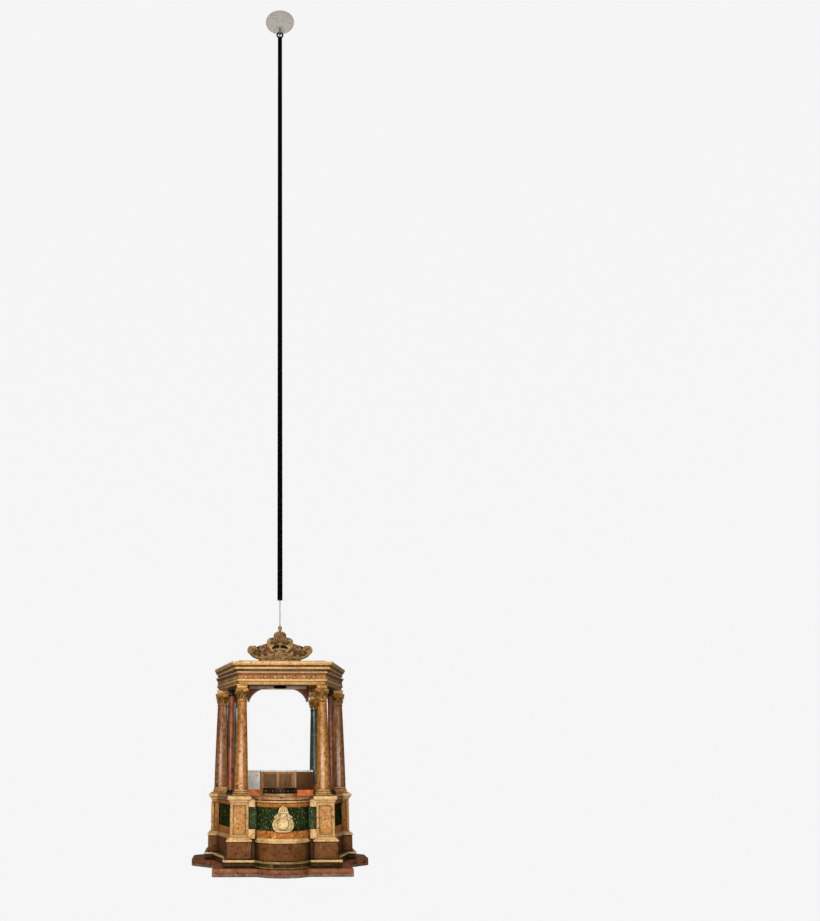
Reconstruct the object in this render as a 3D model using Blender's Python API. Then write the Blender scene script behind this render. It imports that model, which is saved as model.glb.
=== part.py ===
"""Hanging sanctuary lamp in the form of a small columned temple.

A ring under a ceiling plate carries a long rod. A swivel pin in the rod's lower end carries the
temple: two steps, a parapet of pedestals and marble walls with a bowed front, eight columns and
four colonnettes, an entablature, a low roof and a carved crest. The oil lamp stands inside, below a
smoke bell, and is reached through a gate at the back.

Lengths are in millimetres and are turned into metres when a mesh is made. The origin is the centre
of the ceiling plate's upper face. The front faces -Y, and the parts of the temple are measured up
from its underside.
"""

import math

import bmesh
import bpy
from mathutils import Vector

MM = 0.001
GAP = 0.35  # clearance between solids that touch
TURN = 2 * math.pi

# Suspension, measured down from the ceiling
PLATE_RADIUS = 35
PLATE_THICKNESS = 4
SCREW_HOLE_RADIUS = 2.25
SCREW_CIRCLE_RADIUS = 25
WIRE_RADIUS = 2
EYE_RADIUS = 7  # centreline of the two eyes
RING_RADIUS = 9  # centreline of the hanging ring
LINK_STEP = 2 * WIRE_RADIUS + 0.4  # from one wire's centre to the wire that it hangs on
PLATE_EYE_CENTRE = -17
RING_PIVOT = PLATE_EYE_CENTRE - EYE_RADIUS
RING_CENTRE = RING_PIVOT + LINK_STEP - RING_RADIUS
ROD_PIVOT = RING_CENTRE - RING_RADIUS
ROD_EYE_CENTRE = ROD_PIVOT + LINK_STEP - EYE_RADIUS
ROD_TOP = -50
ROD_LENGTH = 1404
ROD_RADIUS = 5.2
ROD_END = ROD_TOP - ROD_LENGTH
ROD_BORE = (2.8, 18)  # radius and depth at the lower end
PIN_LENGTH = 52.6  # the bare pin between rod and finial
PIN_RADIUS = 0.9
PIN_HEAD = (2.2, 2)
BUSH_HEIGHT = 4

# Heights in the temple
STEP_TOP = 13
SECOND_STEP_TOP = 25
PLINTH_TOP = 52
DIE_BOTTOM = 60
DIE_TOP = 116
COPING_TOP = 126
SCREEN_TOP = 165
CAPITAL_BOTTOM = 290
ABACUS_BOTTOM = 303
ABACUS_TOP = 308
ARCHITRAVE_BOTTOM = 315
FRIEZE_BOTTOM = 324.5
CORNICE_BOTTOM = 338
CORNICE_TOP = 355
ROOF_TOP = 366
CREST_PLINTH_TOP = 376
CREST_SHOULDER = 406
CREST_TOP = 436
FINIAL_TOP = 442.4
TEMPLE_BASE = ROD_END - PIN_LENGTH - FINIAL_TOP

# Plan of the temple: half width and half depth to the centre of each kind of column
FRONT_COLUMN = (71.5, 150)
REAR_COLUMN = (78, 150)
SIDE_COLUMN = (112, 18)
SIDE_REAR_INSET = 5  # the rear column of each side pair stands this much further in
COLONNETTE_INSET = 1.5  # and the rear colonnettes stand this far inside the line of the columns
FRONT_PEDESTAL = (73.5, 151)
REAR_PEDESTAL = (79, 151)
CORNICE_SIDE = 105  # the cornice is drawn in at the sides
PLAN_SHIFT = 8.5  # the plan sits this far back, so that the weight hangs below the rod
STEP_CORNERS = ((117.5, 190), (117.5, 73), (162, 28))
BOW_CENTRE = -158  # y of the bow's centre and of the straight walls beside it
BOW_RADIUS = 38.5  # centreline of the bowed wall
REAR_BAY_END = 66  # half the gap that the rear arch fills between the ends of the entablature
DIE_HALF = 15.5
BLOCK_HALF = 20.5
FOOT_HALF = 27
COLUMN_FOOT_RADIUS = 11.9
COLUMN_NECK_RADIUS = 8.3
STEM_RADIUS = 2.2
STEM_BORE = 2.6

# The gate in the rear screen
SCREEN_Y = 124.5
SCREEN_HALF_THICKNESS = 4
SCREEN_HALF_WIDTH = 72
GATE_HALF_WIDTH = 34.7
GATE_BOTTOM = 31
GATE_AXIS = (-34, SCREEN_Y + 7.4)
HINGE_PIN_RADIUS = 1.3
HINGE_RADIUS = 3
LUG_HEIGHT = 8
LUG_BOTTOMS = (36, 151)
BARREL_HEIGHT = 14.4
BARREL_BOTTOMS = (44.4, 136.2)
LATCH_PIVOT = (40, 98)

# Smoke bell: a dish that swings on the ball of its hook
BELL_PIVOT = 328.5
BELL_BALL_RADIUS = 2.6

MATERIALS = {  # base colour, roughness, metallic
    "white_paint": ((0.86, 0.86, 0.84), 0.45, 0.0),
    "pale_steel": ((0.78, 0.78, 0.76), 0.25, 1.0),
    "black_paint": ((0.01, 0.01, 0.01), 0.4, 0.0),
    "brass": ((0.70, 0.47, 0.18), 0.3, 1.0),
    "carved_gilt": ((0.36, 0.22, 0.09), 0.45, 0.4),
    "roof_lead": ((0.30, 0.24, 0.17), 0.6, 0.2),
    "cream_marble": ((0.72, 0.48, 0.23), 0.25, 0.0),
    "golden_marble": ((0.52, 0.27, 0.07), 0.2, 0.0),
    "red_marble": ((0.40, 0.10, 0.06), 0.2, 0.0),
    "maroon_marble": ((0.15, 0.03, 0.03), 0.25, 0.0),
    "green_marble": ((0.03, 0.09, 0.04), 0.2, 0.0),
    "dark_green_marble": ((0.05, 0.08, 0.07), 0.2, 0.0),
    "step_marble": ((0.28, 0.11, 0.08), 0.3, 0.0),
    "panel_wood": ((0.20, 0.10, 0.05), 0.4, 0.0),
    "black_bronze": ((0.015, 0.013, 0.010), 0.35, 0.7),
    "ruby_glass": ((0.45, 0.01, 0.01), 0.05, 0.0),
}


def clear_scene():
    for obj in list(bpy.data.objects):
        bpy.data.objects.remove(obj)


def make_material(name):
    colour, roughness, metallic = MATERIALS[name]
    material = bpy.data.materials.new(name)
    material.use_nodes = True
    shader = material.node_tree.nodes["Principled BSDF"]
    shader.inputs["Base Color"].default_value = (*colour, 1)
    shader.inputs["Roughness"].default_value = roughness
    shader.inputs["Metallic"].default_value = metallic
    return material


def empty(name, location, parent=None):
    pivot = bpy.data.objects.new(name, None)
    bpy.context.scene.collection.objects.link(pivot)
    pivot.parent = parent
    pivot.location = Vector(location) * MM
    return pivot


def place(name, mesh, parent, location=(0, 0, 0)):
    obj = bpy.data.objects.new(name, mesh)
    bpy.context.scene.collection.objects.link(obj)
    obj.parent = parent
    obj.location = Vector(location) * MM
    return obj


def to_mesh(name, bm, material, smooth_angle=None):
    """The bmesh, drawn in millimetres, as a mesh in metres with its faces pointing out."""
    bmesh.ops.recalc_face_normals(bm, faces=bm.faces)
    bmesh.ops.scale(bm, vec=(MM, MM, MM), verts=bm.verts)
    mesh = bpy.data.meshes.new(name)
    bm.to_mesh(mesh)
    bm.free()
    mesh.materials.append(bpy.data.materials.get(material) or make_material(material))
    if smooth_angle is not None:
        mesh.shade_smooth()
        mesh.set_sharp_from_angle(angle=smooth_angle)
    return mesh


def bridge(bm, rings, closed):
    """Walls between neighbouring rings of vertices. A chain that isn't closed gets a cap at each end."""
    pairs = list(zip(rings, rings[1:]))
    if closed:
        pairs.append((rings[-1], rings[0]))
    for low, high in pairs:
        for i in range(len(low)):
            j = (i + 1) % len(low)
            bm.faces.new((low[i], low[j], high[j], high[i]))
    if not closed:
        bm.faces.new(rings[0])
        bm.faces.new(rings[-1])


def ring_of(half_x, half_y, squareness, sides):
    """Points around a circle, a rectangle or a shape between them, starting on a corner if it has four sides."""
    start = math.pi / 4 if sides == 4 else 0
    points = []
    for i in range(sides):
        angle = start + TURN * i / sides
        c, s = math.cos(angle), math.sin(angle)
        stretch = 1 + squareness * (1 / max(abs(c), abs(s)) - 1)
        points.append((half_x * c * stretch, half_y * s * stretch))
    return points


def loft(name, levels, material, sides, closed=False, smooth=True):
    """A stack of rings. A level is (half width, z), with squareness and half depth where they are needed."""
    bm = bmesh.new()
    rings = []
    for level in levels:
        half, z = level[:2]
        squareness = level[2] if len(level) > 2 else 0
        half_y = level[3] if len(level) > 3 else half
        outline = ring_of(half, half_y, squareness, sides)
        rings.append([bm.verts.new((x, y, z)) for x, y in outline])
    bridge(bm, rings, closed)
    return to_mesh(name, bm, material, math.radians(35) if smooth else None)


def prism(name, outline, low, high, material, upright=False):
    """A flat outline given thickness: along Z or, if upright, an outline in X and Z with thickness along Y."""
    bm = bmesh.new()
    if upright:
        verts = [bm.verts.new((x, low, z)) for x, z in outline]
        rise = (0, high - low, 0)
    else:
        verts = [bm.verts.new((x, y, low)) for x, y in outline]
        rise = (0, 0, high - low)
    face = bm.faces.new(verts)
    made = bmesh.ops.extrude_face_region(bm, geom=[face])["geom"]
    moved = [v for v in made if isinstance(v, bmesh.types.BMVert)]
    bmesh.ops.translate(bm, vec=rise, verts=moved)
    return to_mesh(name, bm, material)


def box(name, low, high, material):
    outline = [(low[0], low[1]), (high[0], low[1]), (high[0], high[1]), (low[0], high[1])]
    return prism(name, outline, low[2], high[2], material)


def lay_down(mesh):
    """Turns a body that stands along Z so that it points along +Y."""
    for vert in mesh.vertices:
        vert.co = (vert.co.x, vert.co.z, -vert.co.y)
    return mesh


def torus(name, major, minor, material, around="Y"):
    """A wire ring about the Y or the X axis."""
    bm = bmesh.new()
    rings = []
    steps, sides = 20, 8
    for i in range(steps):
        turn = TURN * i / steps
        ring = []
        for j in range(sides):
            angle = TURN * j / sides
            reach = major + minor * math.cos(angle)
            side = minor * math.sin(angle)
            along, up = reach * math.cos(turn), reach * math.sin(turn)
            ring.append(bm.verts.new((along, side, up) if around == "Y" else (side, along, up)))
        rings.append(ring)
    bridge(bm, rings, closed=True)
    return to_mesh(name, bm, material, math.radians(60))


def side_offsets(path, closed):
    """For each point of a plan path, the vector that moves it 1 mm out, to the right of the way it runs."""
    offsets = []
    count = len(path)
    for i, here in enumerate(path):
        before = path[i - 1] if closed or i else None
        after = path[(i + 1) % count] if closed or i < count - 1 else None
        ways = []
        for a, b in ((before, here), (here, after)):
            if a is not None and b is not None:
                way = (Vector(b) - Vector(a)).normalized()
                ways.append(Vector((way.y, -way.x)))
        middle = sum(ways, Vector((0, 0))).normalized()
        offsets.append(middle / middle.dot(ways[0]))
    return offsets


def outline_at(path, offset):
    """A closed plan path moved out by offset."""
    return [tuple(Vector(p) + n * offset) for p, n in zip(path, side_offsets(path, True))]


def sweep(name, path, profile, material, closed):
    """A moulding: a closed profile of (offset, z) points carried along a plan path, mitred at its corners."""
    bm = bmesh.new()
    rings = []
    for point, normal in zip(path, side_offsets(path, closed)):
        spots = [(Vector(point) + normal * offset, z) for offset, z in profile]
        rings.append([bm.verts.new((p.x, p.y, z)) for p, z in spots])
    bridge(bm, rings, closed)
    return to_mesh(name, bm, material)


def combine(obj, mesh, operation, location=(0, 0, 0)):
    """Adds a helper body to an object, or cuts it away. The helper itself isn't part of the model."""
    helper = place(f"{obj.name}_{mesh.name}", mesh, obj.parent, location)
    helper.hide_render = True
    helper.display_type = "WIRE"
    modifier = obj.modifiers.new(mesh.name, "BOOLEAN")
    modifier.operation = operation
    modifier.object = helper
    return obj


def corners(front, rear):
    """The names and places of four matching pieces, left and right at the front and at the back."""
    (fx, fy), (rx, ry) = front, rear
    return [
        ("front_left", (-fx, -fy)),
        ("front_right", (fx, -fy)),
        ("rear_left", (-rx, ry)),
        ("rear_right", (rx, ry)),
    ]


def column_plan(side=SIDE_COLUMN[0]):
    """The columns' centres in order round the temple, starting at the front left."""
    (fx, fy), (rx, ry), sy = FRONT_COLUMN, REAR_COLUMN, SIDE_COLUMN[1]
    right = [(fx, -fy), (side, -sy), (side, sy), (rx, ry)]
    left = [(-x, y) for x, y in reversed(right)]
    return [left[-1], *right, *left[:-1]]


def open_ring_plan():
    """The same line left open at the back, between the ends of the rear bay."""
    around = column_plan()
    back = REAR_COLUMN[1]
    return [(-REAR_BAY_END, back), *around[5:], *around[:5], (REAR_BAY_END, back)]


def build_suspension():
    """The ceiling plate with its eye, the hanging ring and the rod. It gives the temple's own pivot."""
    plate = loft(
        "ceiling_plate",
        [(PLATE_RADIUS, 0), (PLATE_RADIUS, -2), (PLATE_RADIUS - 3, -PLATE_THICKNESS)],
        "white_paint",
        32,
    )
    plate = place("ceiling_plate", plate, None)
    shank = loft("shank", [(3, -2), (3, PLATE_EYE_CENTRE + EYE_RADIUS)], "white_paint", 12)
    combine(plate, shank, "UNION")
    eye = torus("eye", EYE_RADIUS, WIRE_RADIUS, "white_paint")
    combine(plate, eye, "UNION", (0, 0, PLATE_EYE_CENTRE))
    for i in range(3):
        turn = TURN * i / 3
        spot = (SCREW_CIRCLE_RADIUS * math.cos(turn), SCREW_CIRCLE_RADIUS * math.sin(turn), 0)
        hole = [(SCREW_HOLE_RADIUS, 1), (SCREW_HOLE_RADIUS, -PLATE_THICKNESS - 1)]
        combine(plate, loft("screw_hole", hole, "white_paint", 12), "DIFFERENCE", spot)

    ring_pivot = empty("ring_pivot", (0, 0, RING_PIVOT))
    ring = torus("hanging_ring", RING_RADIUS, WIRE_RADIUS, "pale_steel", around="X")
    place("hanging_ring", ring, ring_pivot, (0, 0, RING_CENTRE - RING_PIVOT))

    rod_pivot = empty("rod_pivot", (0, 0, ROD_PIVOT - RING_PIVOT), ring_pivot)
    bore_radius, bore_depth = ROD_BORE
    rod = loft(
        "suspension_rod",
        [
            (bore_radius, bore_depth),
            (bore_radius, 0),
            (ROD_RADIUS, 0),
            (ROD_RADIUS, ROD_LENGTH),
        ],
        "black_paint",
        16,
    )
    rod = place("suspension_rod", rod, rod_pivot, (0, 0, ROD_END - ROD_PIVOT))
    neck_top = ROD_EYE_CENTRE - EYE_RADIUS
    neck = loft("neck", [(3, ROD_TOP - 1), (3, neck_top)], "black_paint", 12)
    combine(rod, neck, "UNION", (0, 0, -ROD_PIVOT))
    eye = torus("rod_eye", EYE_RADIUS, WIRE_RADIUS, "black_paint")
    combine(rod, eye, "UNION", (0, 0, ROD_EYE_CENTRE - ROD_PIVOT))

    bush = loft(
        "swivel_bush",
        [
            (bore_radius - GAP, 0),
            (bore_radius - GAP, BUSH_HEIGHT),
            (PIN_RADIUS + GAP, BUSH_HEIGHT),
            (PIN_RADIUS + GAP, 0),
        ],
        "brass",
        12,
        closed=True,
    )
    place("swivel_bush", bush, rod_pivot, (0, 0, ROD_END - ROD_PIVOT))

    swivel = empty("swivel_axis", (0, 0, ROD_END - ROD_PIVOT), rod_pivot)
    head_radius, head_height = PIN_HEAD
    head_base = BUSH_HEIGHT + GAP
    pin = loft(
        "swivel_pin",
        [
            (PIN_RADIUS, -PIN_LENGTH - 7),
            (PIN_RADIUS, head_base),
            (head_radius, head_base),
            (head_radius, head_base + head_height),
        ],
        "pale_steel",
        12,
    )
    place("swivel_pin", pin, swivel)
    return swivel


def bezier(start, pull, end, steps=6):
    """Points on a quadratic curve, both ends included."""
    points = []
    for i in range(steps + 1):
        t = i / steps
        weights = ((1 - t) ** 2, 2 * t * (1 - t), t * t)
        points.append(tuple(sum(w * p[k] for w, p in zip(weights, (start, pull, end))) for k in (0, 1)))
    return points


def stem_bore(low, high):
    return loft("stem_bore", [(STEM_BORE, low), (STEM_BORE, high)], "pale_steel", 12)


def build_crest(axis):
    """The stem that carries the temple's weight, with the carved crest around it."""
    knob = [
        (STEM_RADIUS, CORNICE_BOTTOM - 2.4),
        (STEM_RADIUS, CREST_TOP - 3),
        (3.4, CREST_TOP - 1),
        (4.2, CREST_TOP + 2),
        (3.4, CREST_TOP + 5),
        (2.2, FINIAL_TOP),
        (PIN_RADIUS + GAP, FINIAL_TOP),
        (PIN_RADIUS + GAP, FINIAL_TOP - 8),
    ]
    place("finial_stem", loft("finial_stem", knob, "brass", 12), axis)

    plinth = loft(
        "crest_plinth",
        [
            (44, ROOF_TOP + GAP, 1, 19),
            (44, ROOF_TOP + 3, 1, 19),
            (38, ROOF_TOP + 5, 1, 15),
            (38, CREST_PLINTH_TOP - 2, 1, 15),
            (42, CREST_PLINTH_TOP, 1, 17),
        ],
        "carved_gilt",
        4,
        smooth=False,
    )
    plinth = place("crest_plinth", plinth, axis)
    combine(plinth, stem_bore(ROOF_TOP - 1, CREST_PLINTH_TOP + 1), "DIFFERENCE")

    base, shoulder = CREST_PLINTH_TOP + GAP, CREST_SHOULDER
    half = [(22, base), (26.5, base + 8), (26.5, shoulder)]
    half += bezier((28, shoulder + 6), (27, shoulder + 15), (14, shoulder + 15), 3)
    half += bezier((13, shoulder + 18), (12.5, shoulder + 27), (5, CREST_TOP - 3.4), 3)
    outline = half + [(-x, z) for x, z in reversed(half)]
    palmette = prism("crest_palmette", outline, -7, 7, "carved_gilt", upright=True)
    palmette = place("crest_palmette", palmette, axis)
    combine(palmette, stem_bore(base - 1, CREST_TOP), "DIFFERENCE")

    for side, sign in (("left", -1), ("right", 1)):
        lower = bezier((22 + GAP, base), (52, base - 1), (64, base + 17))
        upper = [(60, shoulder - 1), (47, shoulder - 1), (42, shoulder - 8), (36, shoulder - 1)]
        inner = [(26.5 + GAP, shoulder - 1), (26.5 + GAP, base + 8)]
        arm = [(sign * x, z) for x, z in lower + upper + inner]
        arm = prism("arm", arm, -8, 8, "carved_gilt", upright=True)
        arm = place(f"crest_scroll_{side}", arm, axis)
        curl = lay_down(loft("curl", [(10, -9.5), (10, 9.5)], "carved_gilt", 20))
        combine(arm, curl, "UNION", (sign * 56, 0, shoulder - 9.5))


def build_roof(temple, axis):
    """The low hipped roof, the ceiling board and the three courses of the entablature."""
    plan = column_plan()
    bm = bmesh.new()
    eaves = outline_at(column_plan(CORNICE_SIDE), 8)
    flat = [(0.45 * x, 0.45 * y) for x, y in plan]
    rings = [
        [bm.verts.new((x, y, z)) for x, y in ring]
        for ring, z in ((eaves, CORNICE_TOP + GAP), (eaves, CORNICE_TOP + 1.4), (flat, ROOF_TOP))
    ]
    bridge(bm, rings, closed=False)
    roof = place("roof", to_mesh("roof", bm, "roof_lead"), temple)
    combine(roof, stem_bore(CORNICE_TOP - 1, ROOF_TOP + 1), "DIFFERENCE", (0, -PLAN_SHIFT, 0))

    inside = outline_at(column_plan(CORNICE_SIDE), -2 - GAP)
    board = prism("ceiling_board", inside, CORNICE_BOTTOM + GAP, CORNICE_BOTTOM + 6, "panel_wood")
    board = place("ceiling_board", board, temple)
    bore = stem_bore(CORNICE_BOTTOM - 1, CORNICE_BOTTOM + 8)
    combine(board, bore, "DIFFERENCE", (0, -PLAN_SHIFT, 0))

    low = CORNICE_BOTTOM + GAP
    cornice = [
        (-2, low),
        (11, low),
        (14, low + 4.5),
        (18, low + 6),
        (18, low + 10),
        (22, CORNICE_TOP - 3.5),
        (22, CORNICE_TOP),
        (-2, CORNICE_TOP),
    ]
    cornice = sweep("cornice", column_plan(CORNICE_SIDE), cornice, "cream_marble", closed=True)
    place("cornice", cornice, temple)

    low, bead = FRIEZE_BOTTOM + GAP, CORNICE_BOTTOM - 3
    frieze = [(-9, low), (9, low), (9, bead), (12.5, bead + 1), (12.5, bead + 3), (-9, bead + 3)]
    low, fascia = ARCHITRAVE_BOTTOM + GAP, FRIEZE_BOTTOM - 3
    architrave = [(-8, low), (8, low), (8, fascia), (10.5, fascia + 1), (10.5, fascia + 3), (-8, fascia + 3)]
    for name, profile, material in (
        ("frieze", frieze, "red_marble"),
        ("architrave", architrave, "cream_marble"),
    ):
        place(name, sweep(name, open_ring_plan(), profile, material, closed=False), temple)
    build_rear_arch(temple)

    hook = [
        (STEM_BORE, CORNICE_BOTTOM - 2.8),
        (STEM_BORE, CORNICE_BOTTOM - GAP),
        (7, CORNICE_BOTTOM - GAP),
        (6, CORNICE_BOTTOM - 4),
        (PIN_RADIUS, CORNICE_BOTTOM - 5),
        (PIN_RADIUS, BELL_PIVOT + 2.4),
        (2.2, BELL_PIVOT + 1.4),
        (BELL_BALL_RADIUS, BELL_PIVOT),
        (2.2, BELL_PIVOT - 1.4),
        (1, BELL_PIVOT - 2.4),
    ]
    place("bell_hook", loft("bell_hook", hook, "brass", 12), axis)


def build_rear_arch(temple):
    """The panel that closes the rear bay, with a flat-topped arch cut out below it."""
    reach, springing, crown = REAR_BAY_END - GAP, 305, 334
    corner = bezier((62, springing), (58, 321), (41, crown))
    half = [(reach, CORNICE_BOTTOM), (reach, ABACUS_TOP), (64, ABACUS_TOP), (64, springing), *corner]
    outline = half + [(-x, z) for x, z in reversed(half)]
    back = REAR_COLUMN[1]
    panel = prism("rear_arch", outline, back - 6, back + 6, "maroon_marble", upright=True)
    place("rear_arch", panel, temple)


def build_smoke_bell(axis):
    pivot = empty("bell_pivot", (0, 0, BELL_PIVOT), axis)
    bell = [
        (2.2, 3.4),
        (5, 2.9),
        (10, -1.5),
        (14, -6.5),
        (14, -7.5),
        (13, -7.5),
        (9.2, -2.4),
        (4.6, 1.9),
        (2.2, 2.1),
    ]
    place("smoke_bell", loft("smoke_bell", bell, "black_bronze", 20, closed=True), pivot)


def build_columns(temple):
    """Eight columns with their capitals, and a colonnette on the middle of each long side wall."""
    foot, neck = COLUMN_FOOT_RADIUS, COLUMN_NECK_RADIUS
    rise = CAPITAL_BOTTOM - COPING_TOP
    profile = [
        (14.5, GAP),
        (14.5, 4),
        (12.6, 5),
        (13.4, 7),
        (foot, 9),
        (foot - 0.4, rise * 0.35),
        (foot - 1.6, rise * 0.7),
        (neck, rise - 5),
        (neck + 1.2, rise - 3),
        (neck, rise),
    ]
    shafts = {
        shade: loft(f"shaft_{shade}", profile, shade, 16)
        for shade in ("golden_marble", "dark_green_marble")
    }
    capital = loft(
        "capital",
        [
            (neck, CAPITAL_BOTTOM - COPING_TOP + GAP),
            (neck + 1.2, CAPITAL_BOTTOM - COPING_TOP + 5),
            (11.2, ABACUS_BOTTOM - COPING_TOP - 1, 0.3),
            (12.8, ABACUS_BOTTOM - COPING_TOP, 1),
            (12.8, ABACUS_TOP - COPING_TOP, 1),
            (9, ABACUS_TOP - COPING_TOP, 1),
            (9, ARCHITRAVE_BOTTOM - COPING_TOP, 1),
        ],
        "brass",
        16,
        smooth=False,
    )
    outer = corners(FRONT_COLUMN, REAR_COLUMN)
    inner = corners(SIDE_COLUMN, (SIDE_COLUMN[0] - SIDE_REAR_INSET, SIDE_COLUMN[1]))
    spots = outer + [(f"side_{name}", spot) for name, spot in inner]
    for name, (x, y) in spots:
        shade = "golden_marble" if y < 0 else "dark_green_marble"
        place(f"column_{name}", shafts[shade], temple, (x, y, COPING_TOP))
        place(f"capital_{name}", capital, temple, (x, y, COPING_TOP))

    top = ARCHITRAVE_BOTTOM - COPING_TOP
    slim = [(7.5, GAP), (7.5, 4), (5.5, 8), (4.6, top - 14), (4.6, top - 11), (7.4, top - 4), (7.4, top)]
    slim = loft("colonnette", slim, "red_marble", 12)
    for (name, outer_spot), (_, inner_spot) in zip(outer, inner):
        x, y = ((a + b) / 2 for a, b in zip(outer_spot, inner_spot))
        inset = COLONNETTE_INSET if y > 0 else 0
        place(f"colonnette_{name}", slim, temple, (x - math.copysign(inset, x), y, COPING_TOP))


def pedestal_levels(grow=0.0, extra_y=0.0):
    """The pedestal's square rings from plinth to cap. Both the pedestals and the cuts for them use it."""
    low = SECOND_STEP_TOP + GAP
    steps = [
        (BLOCK_HALF, low),
        (BLOCK_HALF, PLINTH_TOP),
        (BLOCK_HALF + 1.5, PLINTH_TOP + 1),
        (BLOCK_HALF + 1.5, DIE_BOTTOM - 3),
        (DIE_HALF, DIE_BOTTOM),
        (DIE_HALF, DIE_TOP),
        (BLOCK_HALF, DIE_TOP + 4),
        (BLOCK_HALF, COPING_TOP),
    ]
    return [(half + grow, z, 1, half + grow + extra_y) for half, z in steps]


def build_pedestals(temple):
    single = loft("pedestal", pedestal_levels(), "cream_marble", 4, smooth=False)
    for name, (x, y) in corners(FRONT_PEDESTAL, REAR_PEDESTAL):
        place(f"pedestal_{name}", single, temple, (x, y, 0))
    paired = loft(
        "pedestal_pair", pedestal_levels(extra_y=SIDE_COLUMN[1]), "cream_marble", 4, smooth=False
    )
    for side, sign in (("left", -1), ("right", 1)):
        place(f"pedestal_side_{side}", paired, temple, (sign * SIDE_COLUMN[0], 0, 0))


def wall_profile():
    """Half of a parapet wall mirrored into a closed section, from plinth to coping."""
    half = [
        (9, SECOND_STEP_TOP + GAP),
        (9, PLINTH_TOP),
        (10.5, PLINTH_TOP + 2),
        (10.5, DIE_BOTTOM - 3),
        (6, DIE_BOTTOM),
        (6, DIE_TOP),
        (10, DIE_TOP + 4),
        (10, COPING_TOP),
    ]
    return half + [(-offset, z) for offset, z in reversed(half)]


def cut_for_pedestal(wall, spot, extra_y=0.0):
    """Cuts the wall's end to the shape of the pedestal it meets. The cut runs past its top and its bottom."""
    levels = pedestal_levels(GAP, extra_y)
    levels[0] = (levels[0][0], levels[0][1] - 2, *levels[0][2:])
    levels[-1] = (levels[-1][0], levels[-1][1] + 2, *levels[-1][2:])
    space = loft("pedestal_space", levels, "cream_marble", 4, smooth=False)
    combine(wall, space, "DIFFERENCE", (*spot, 0))


def build_parapet(temple):
    """The bowed front wall, the four slanting walls and the cartouche."""
    steps = 16
    arc = [
        (BOW_RADIUS * math.cos(math.pi + math.pi * i / steps),
         BOW_CENTRE + BOW_RADIUS * math.sin(math.pi + math.pi * i / steps))
        for i in range(steps + 1)
    ]
    reach = FRONT_PEDESTAL[0] - 9
    path = [(-reach, BOW_CENTRE), *arc, (reach, BOW_CENTRE)]
    bow = sweep("front_bow", path, wall_profile(), "green_marble", closed=False)
    bow = place("front_bow", bow, temple)
    pedestals = corners(FRONT_PEDESTAL, REAR_PEDESTAL)
    for _, spot in pedestals[:2]:
        cut_for_pedestal(bow, spot)

    for (name, start), (_, end) in zip(pedestals, corners(SIDE_COLUMN, SIDE_COLUMN)):
        wall = sweep("wall", [start, end], wall_profile(), "green_marble", closed=False)
        wall = place(f"wall_{name}", wall, temple)
        cut_for_pedestal(wall, start)
        cut_for_pedestal(wall, (end[0], 0), SIDE_COLUMN[1])

    face = BOW_CENTRE - BOW_RADIUS - 6
    half = [(9, 70), (17, 74), (18.5, 84), (18, 92), (15, 97), (11, 99), (10, 104), (5, 106), (4, 113)]
    outline = [(-x, z) for x, z in half] + [(x, z) for x, z in reversed(half)]
    shield = prism("cartouche", outline, face - 5, face + 6, "cream_marble", upright=True)
    shield = place("cartouche", shield, temple)
    space = loft("bow_space", [(BOW_RADIUS + 6 + GAP, 60), (BOW_RADIUS + 6 + GAP, 120)], "brass", 48)
    combine(shield, space, "DIFFERENCE", (0, BOW_CENTRE, 0))


def build_steps(temple):
    """The two steps. Both bulge below the bowed front, and the upper one breaks out below each pedestal."""
    quarter = list(STEP_CORNERS)
    right = [(x, -y) for x, y in quarter] + quarter[::-1]
    outline = right + [(-x, y) for x, y in reversed(right)]
    step = place("bottom_step", prism("bottom_step", outline, 0, STEP_TOP, "step_marble"), temple)
    bulge = loft("bulge", [(57, 0), (57, STEP_TOP)], "step_marble", 48)
    combine(step, bulge, "UNION", (0, BOW_CENTRE + 6, 0))

    low, high = STEP_TOP + GAP, SECOND_STEP_TOP
    upper = prism("second_step", outline_at(column_plan(), 20), low, high, "step_marble")
    upper = place("second_step", upper, temple)
    for _, (x, y) in corners(FRONT_PEDESTAL, REAR_PEDESTAL):
        foot = loft("foot", [(FOOT_HALF, low, 1), (FOOT_HALF, high, 1)], "step_marble", 4)
        combine(upper, foot, "UNION", (x, y, 0))
    for sign in (-1, 1):
        deep = FOOT_HALF + SIDE_COLUMN[1]
        foot = loft("side_foot", [(FOOT_HALF, low, 1, deep), (FOOT_HALF, high, 1, deep)], "step_marble", 4)
        combine(upper, foot, "UNION", (sign * SIDE_COLUMN[0], 0, 0))
    bulge = loft("bow_foot", [(51, low), (51, high)], "step_marble", 48)
    combine(upper, bulge, "UNION", (0, BOW_CENTRE, 0))


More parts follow.
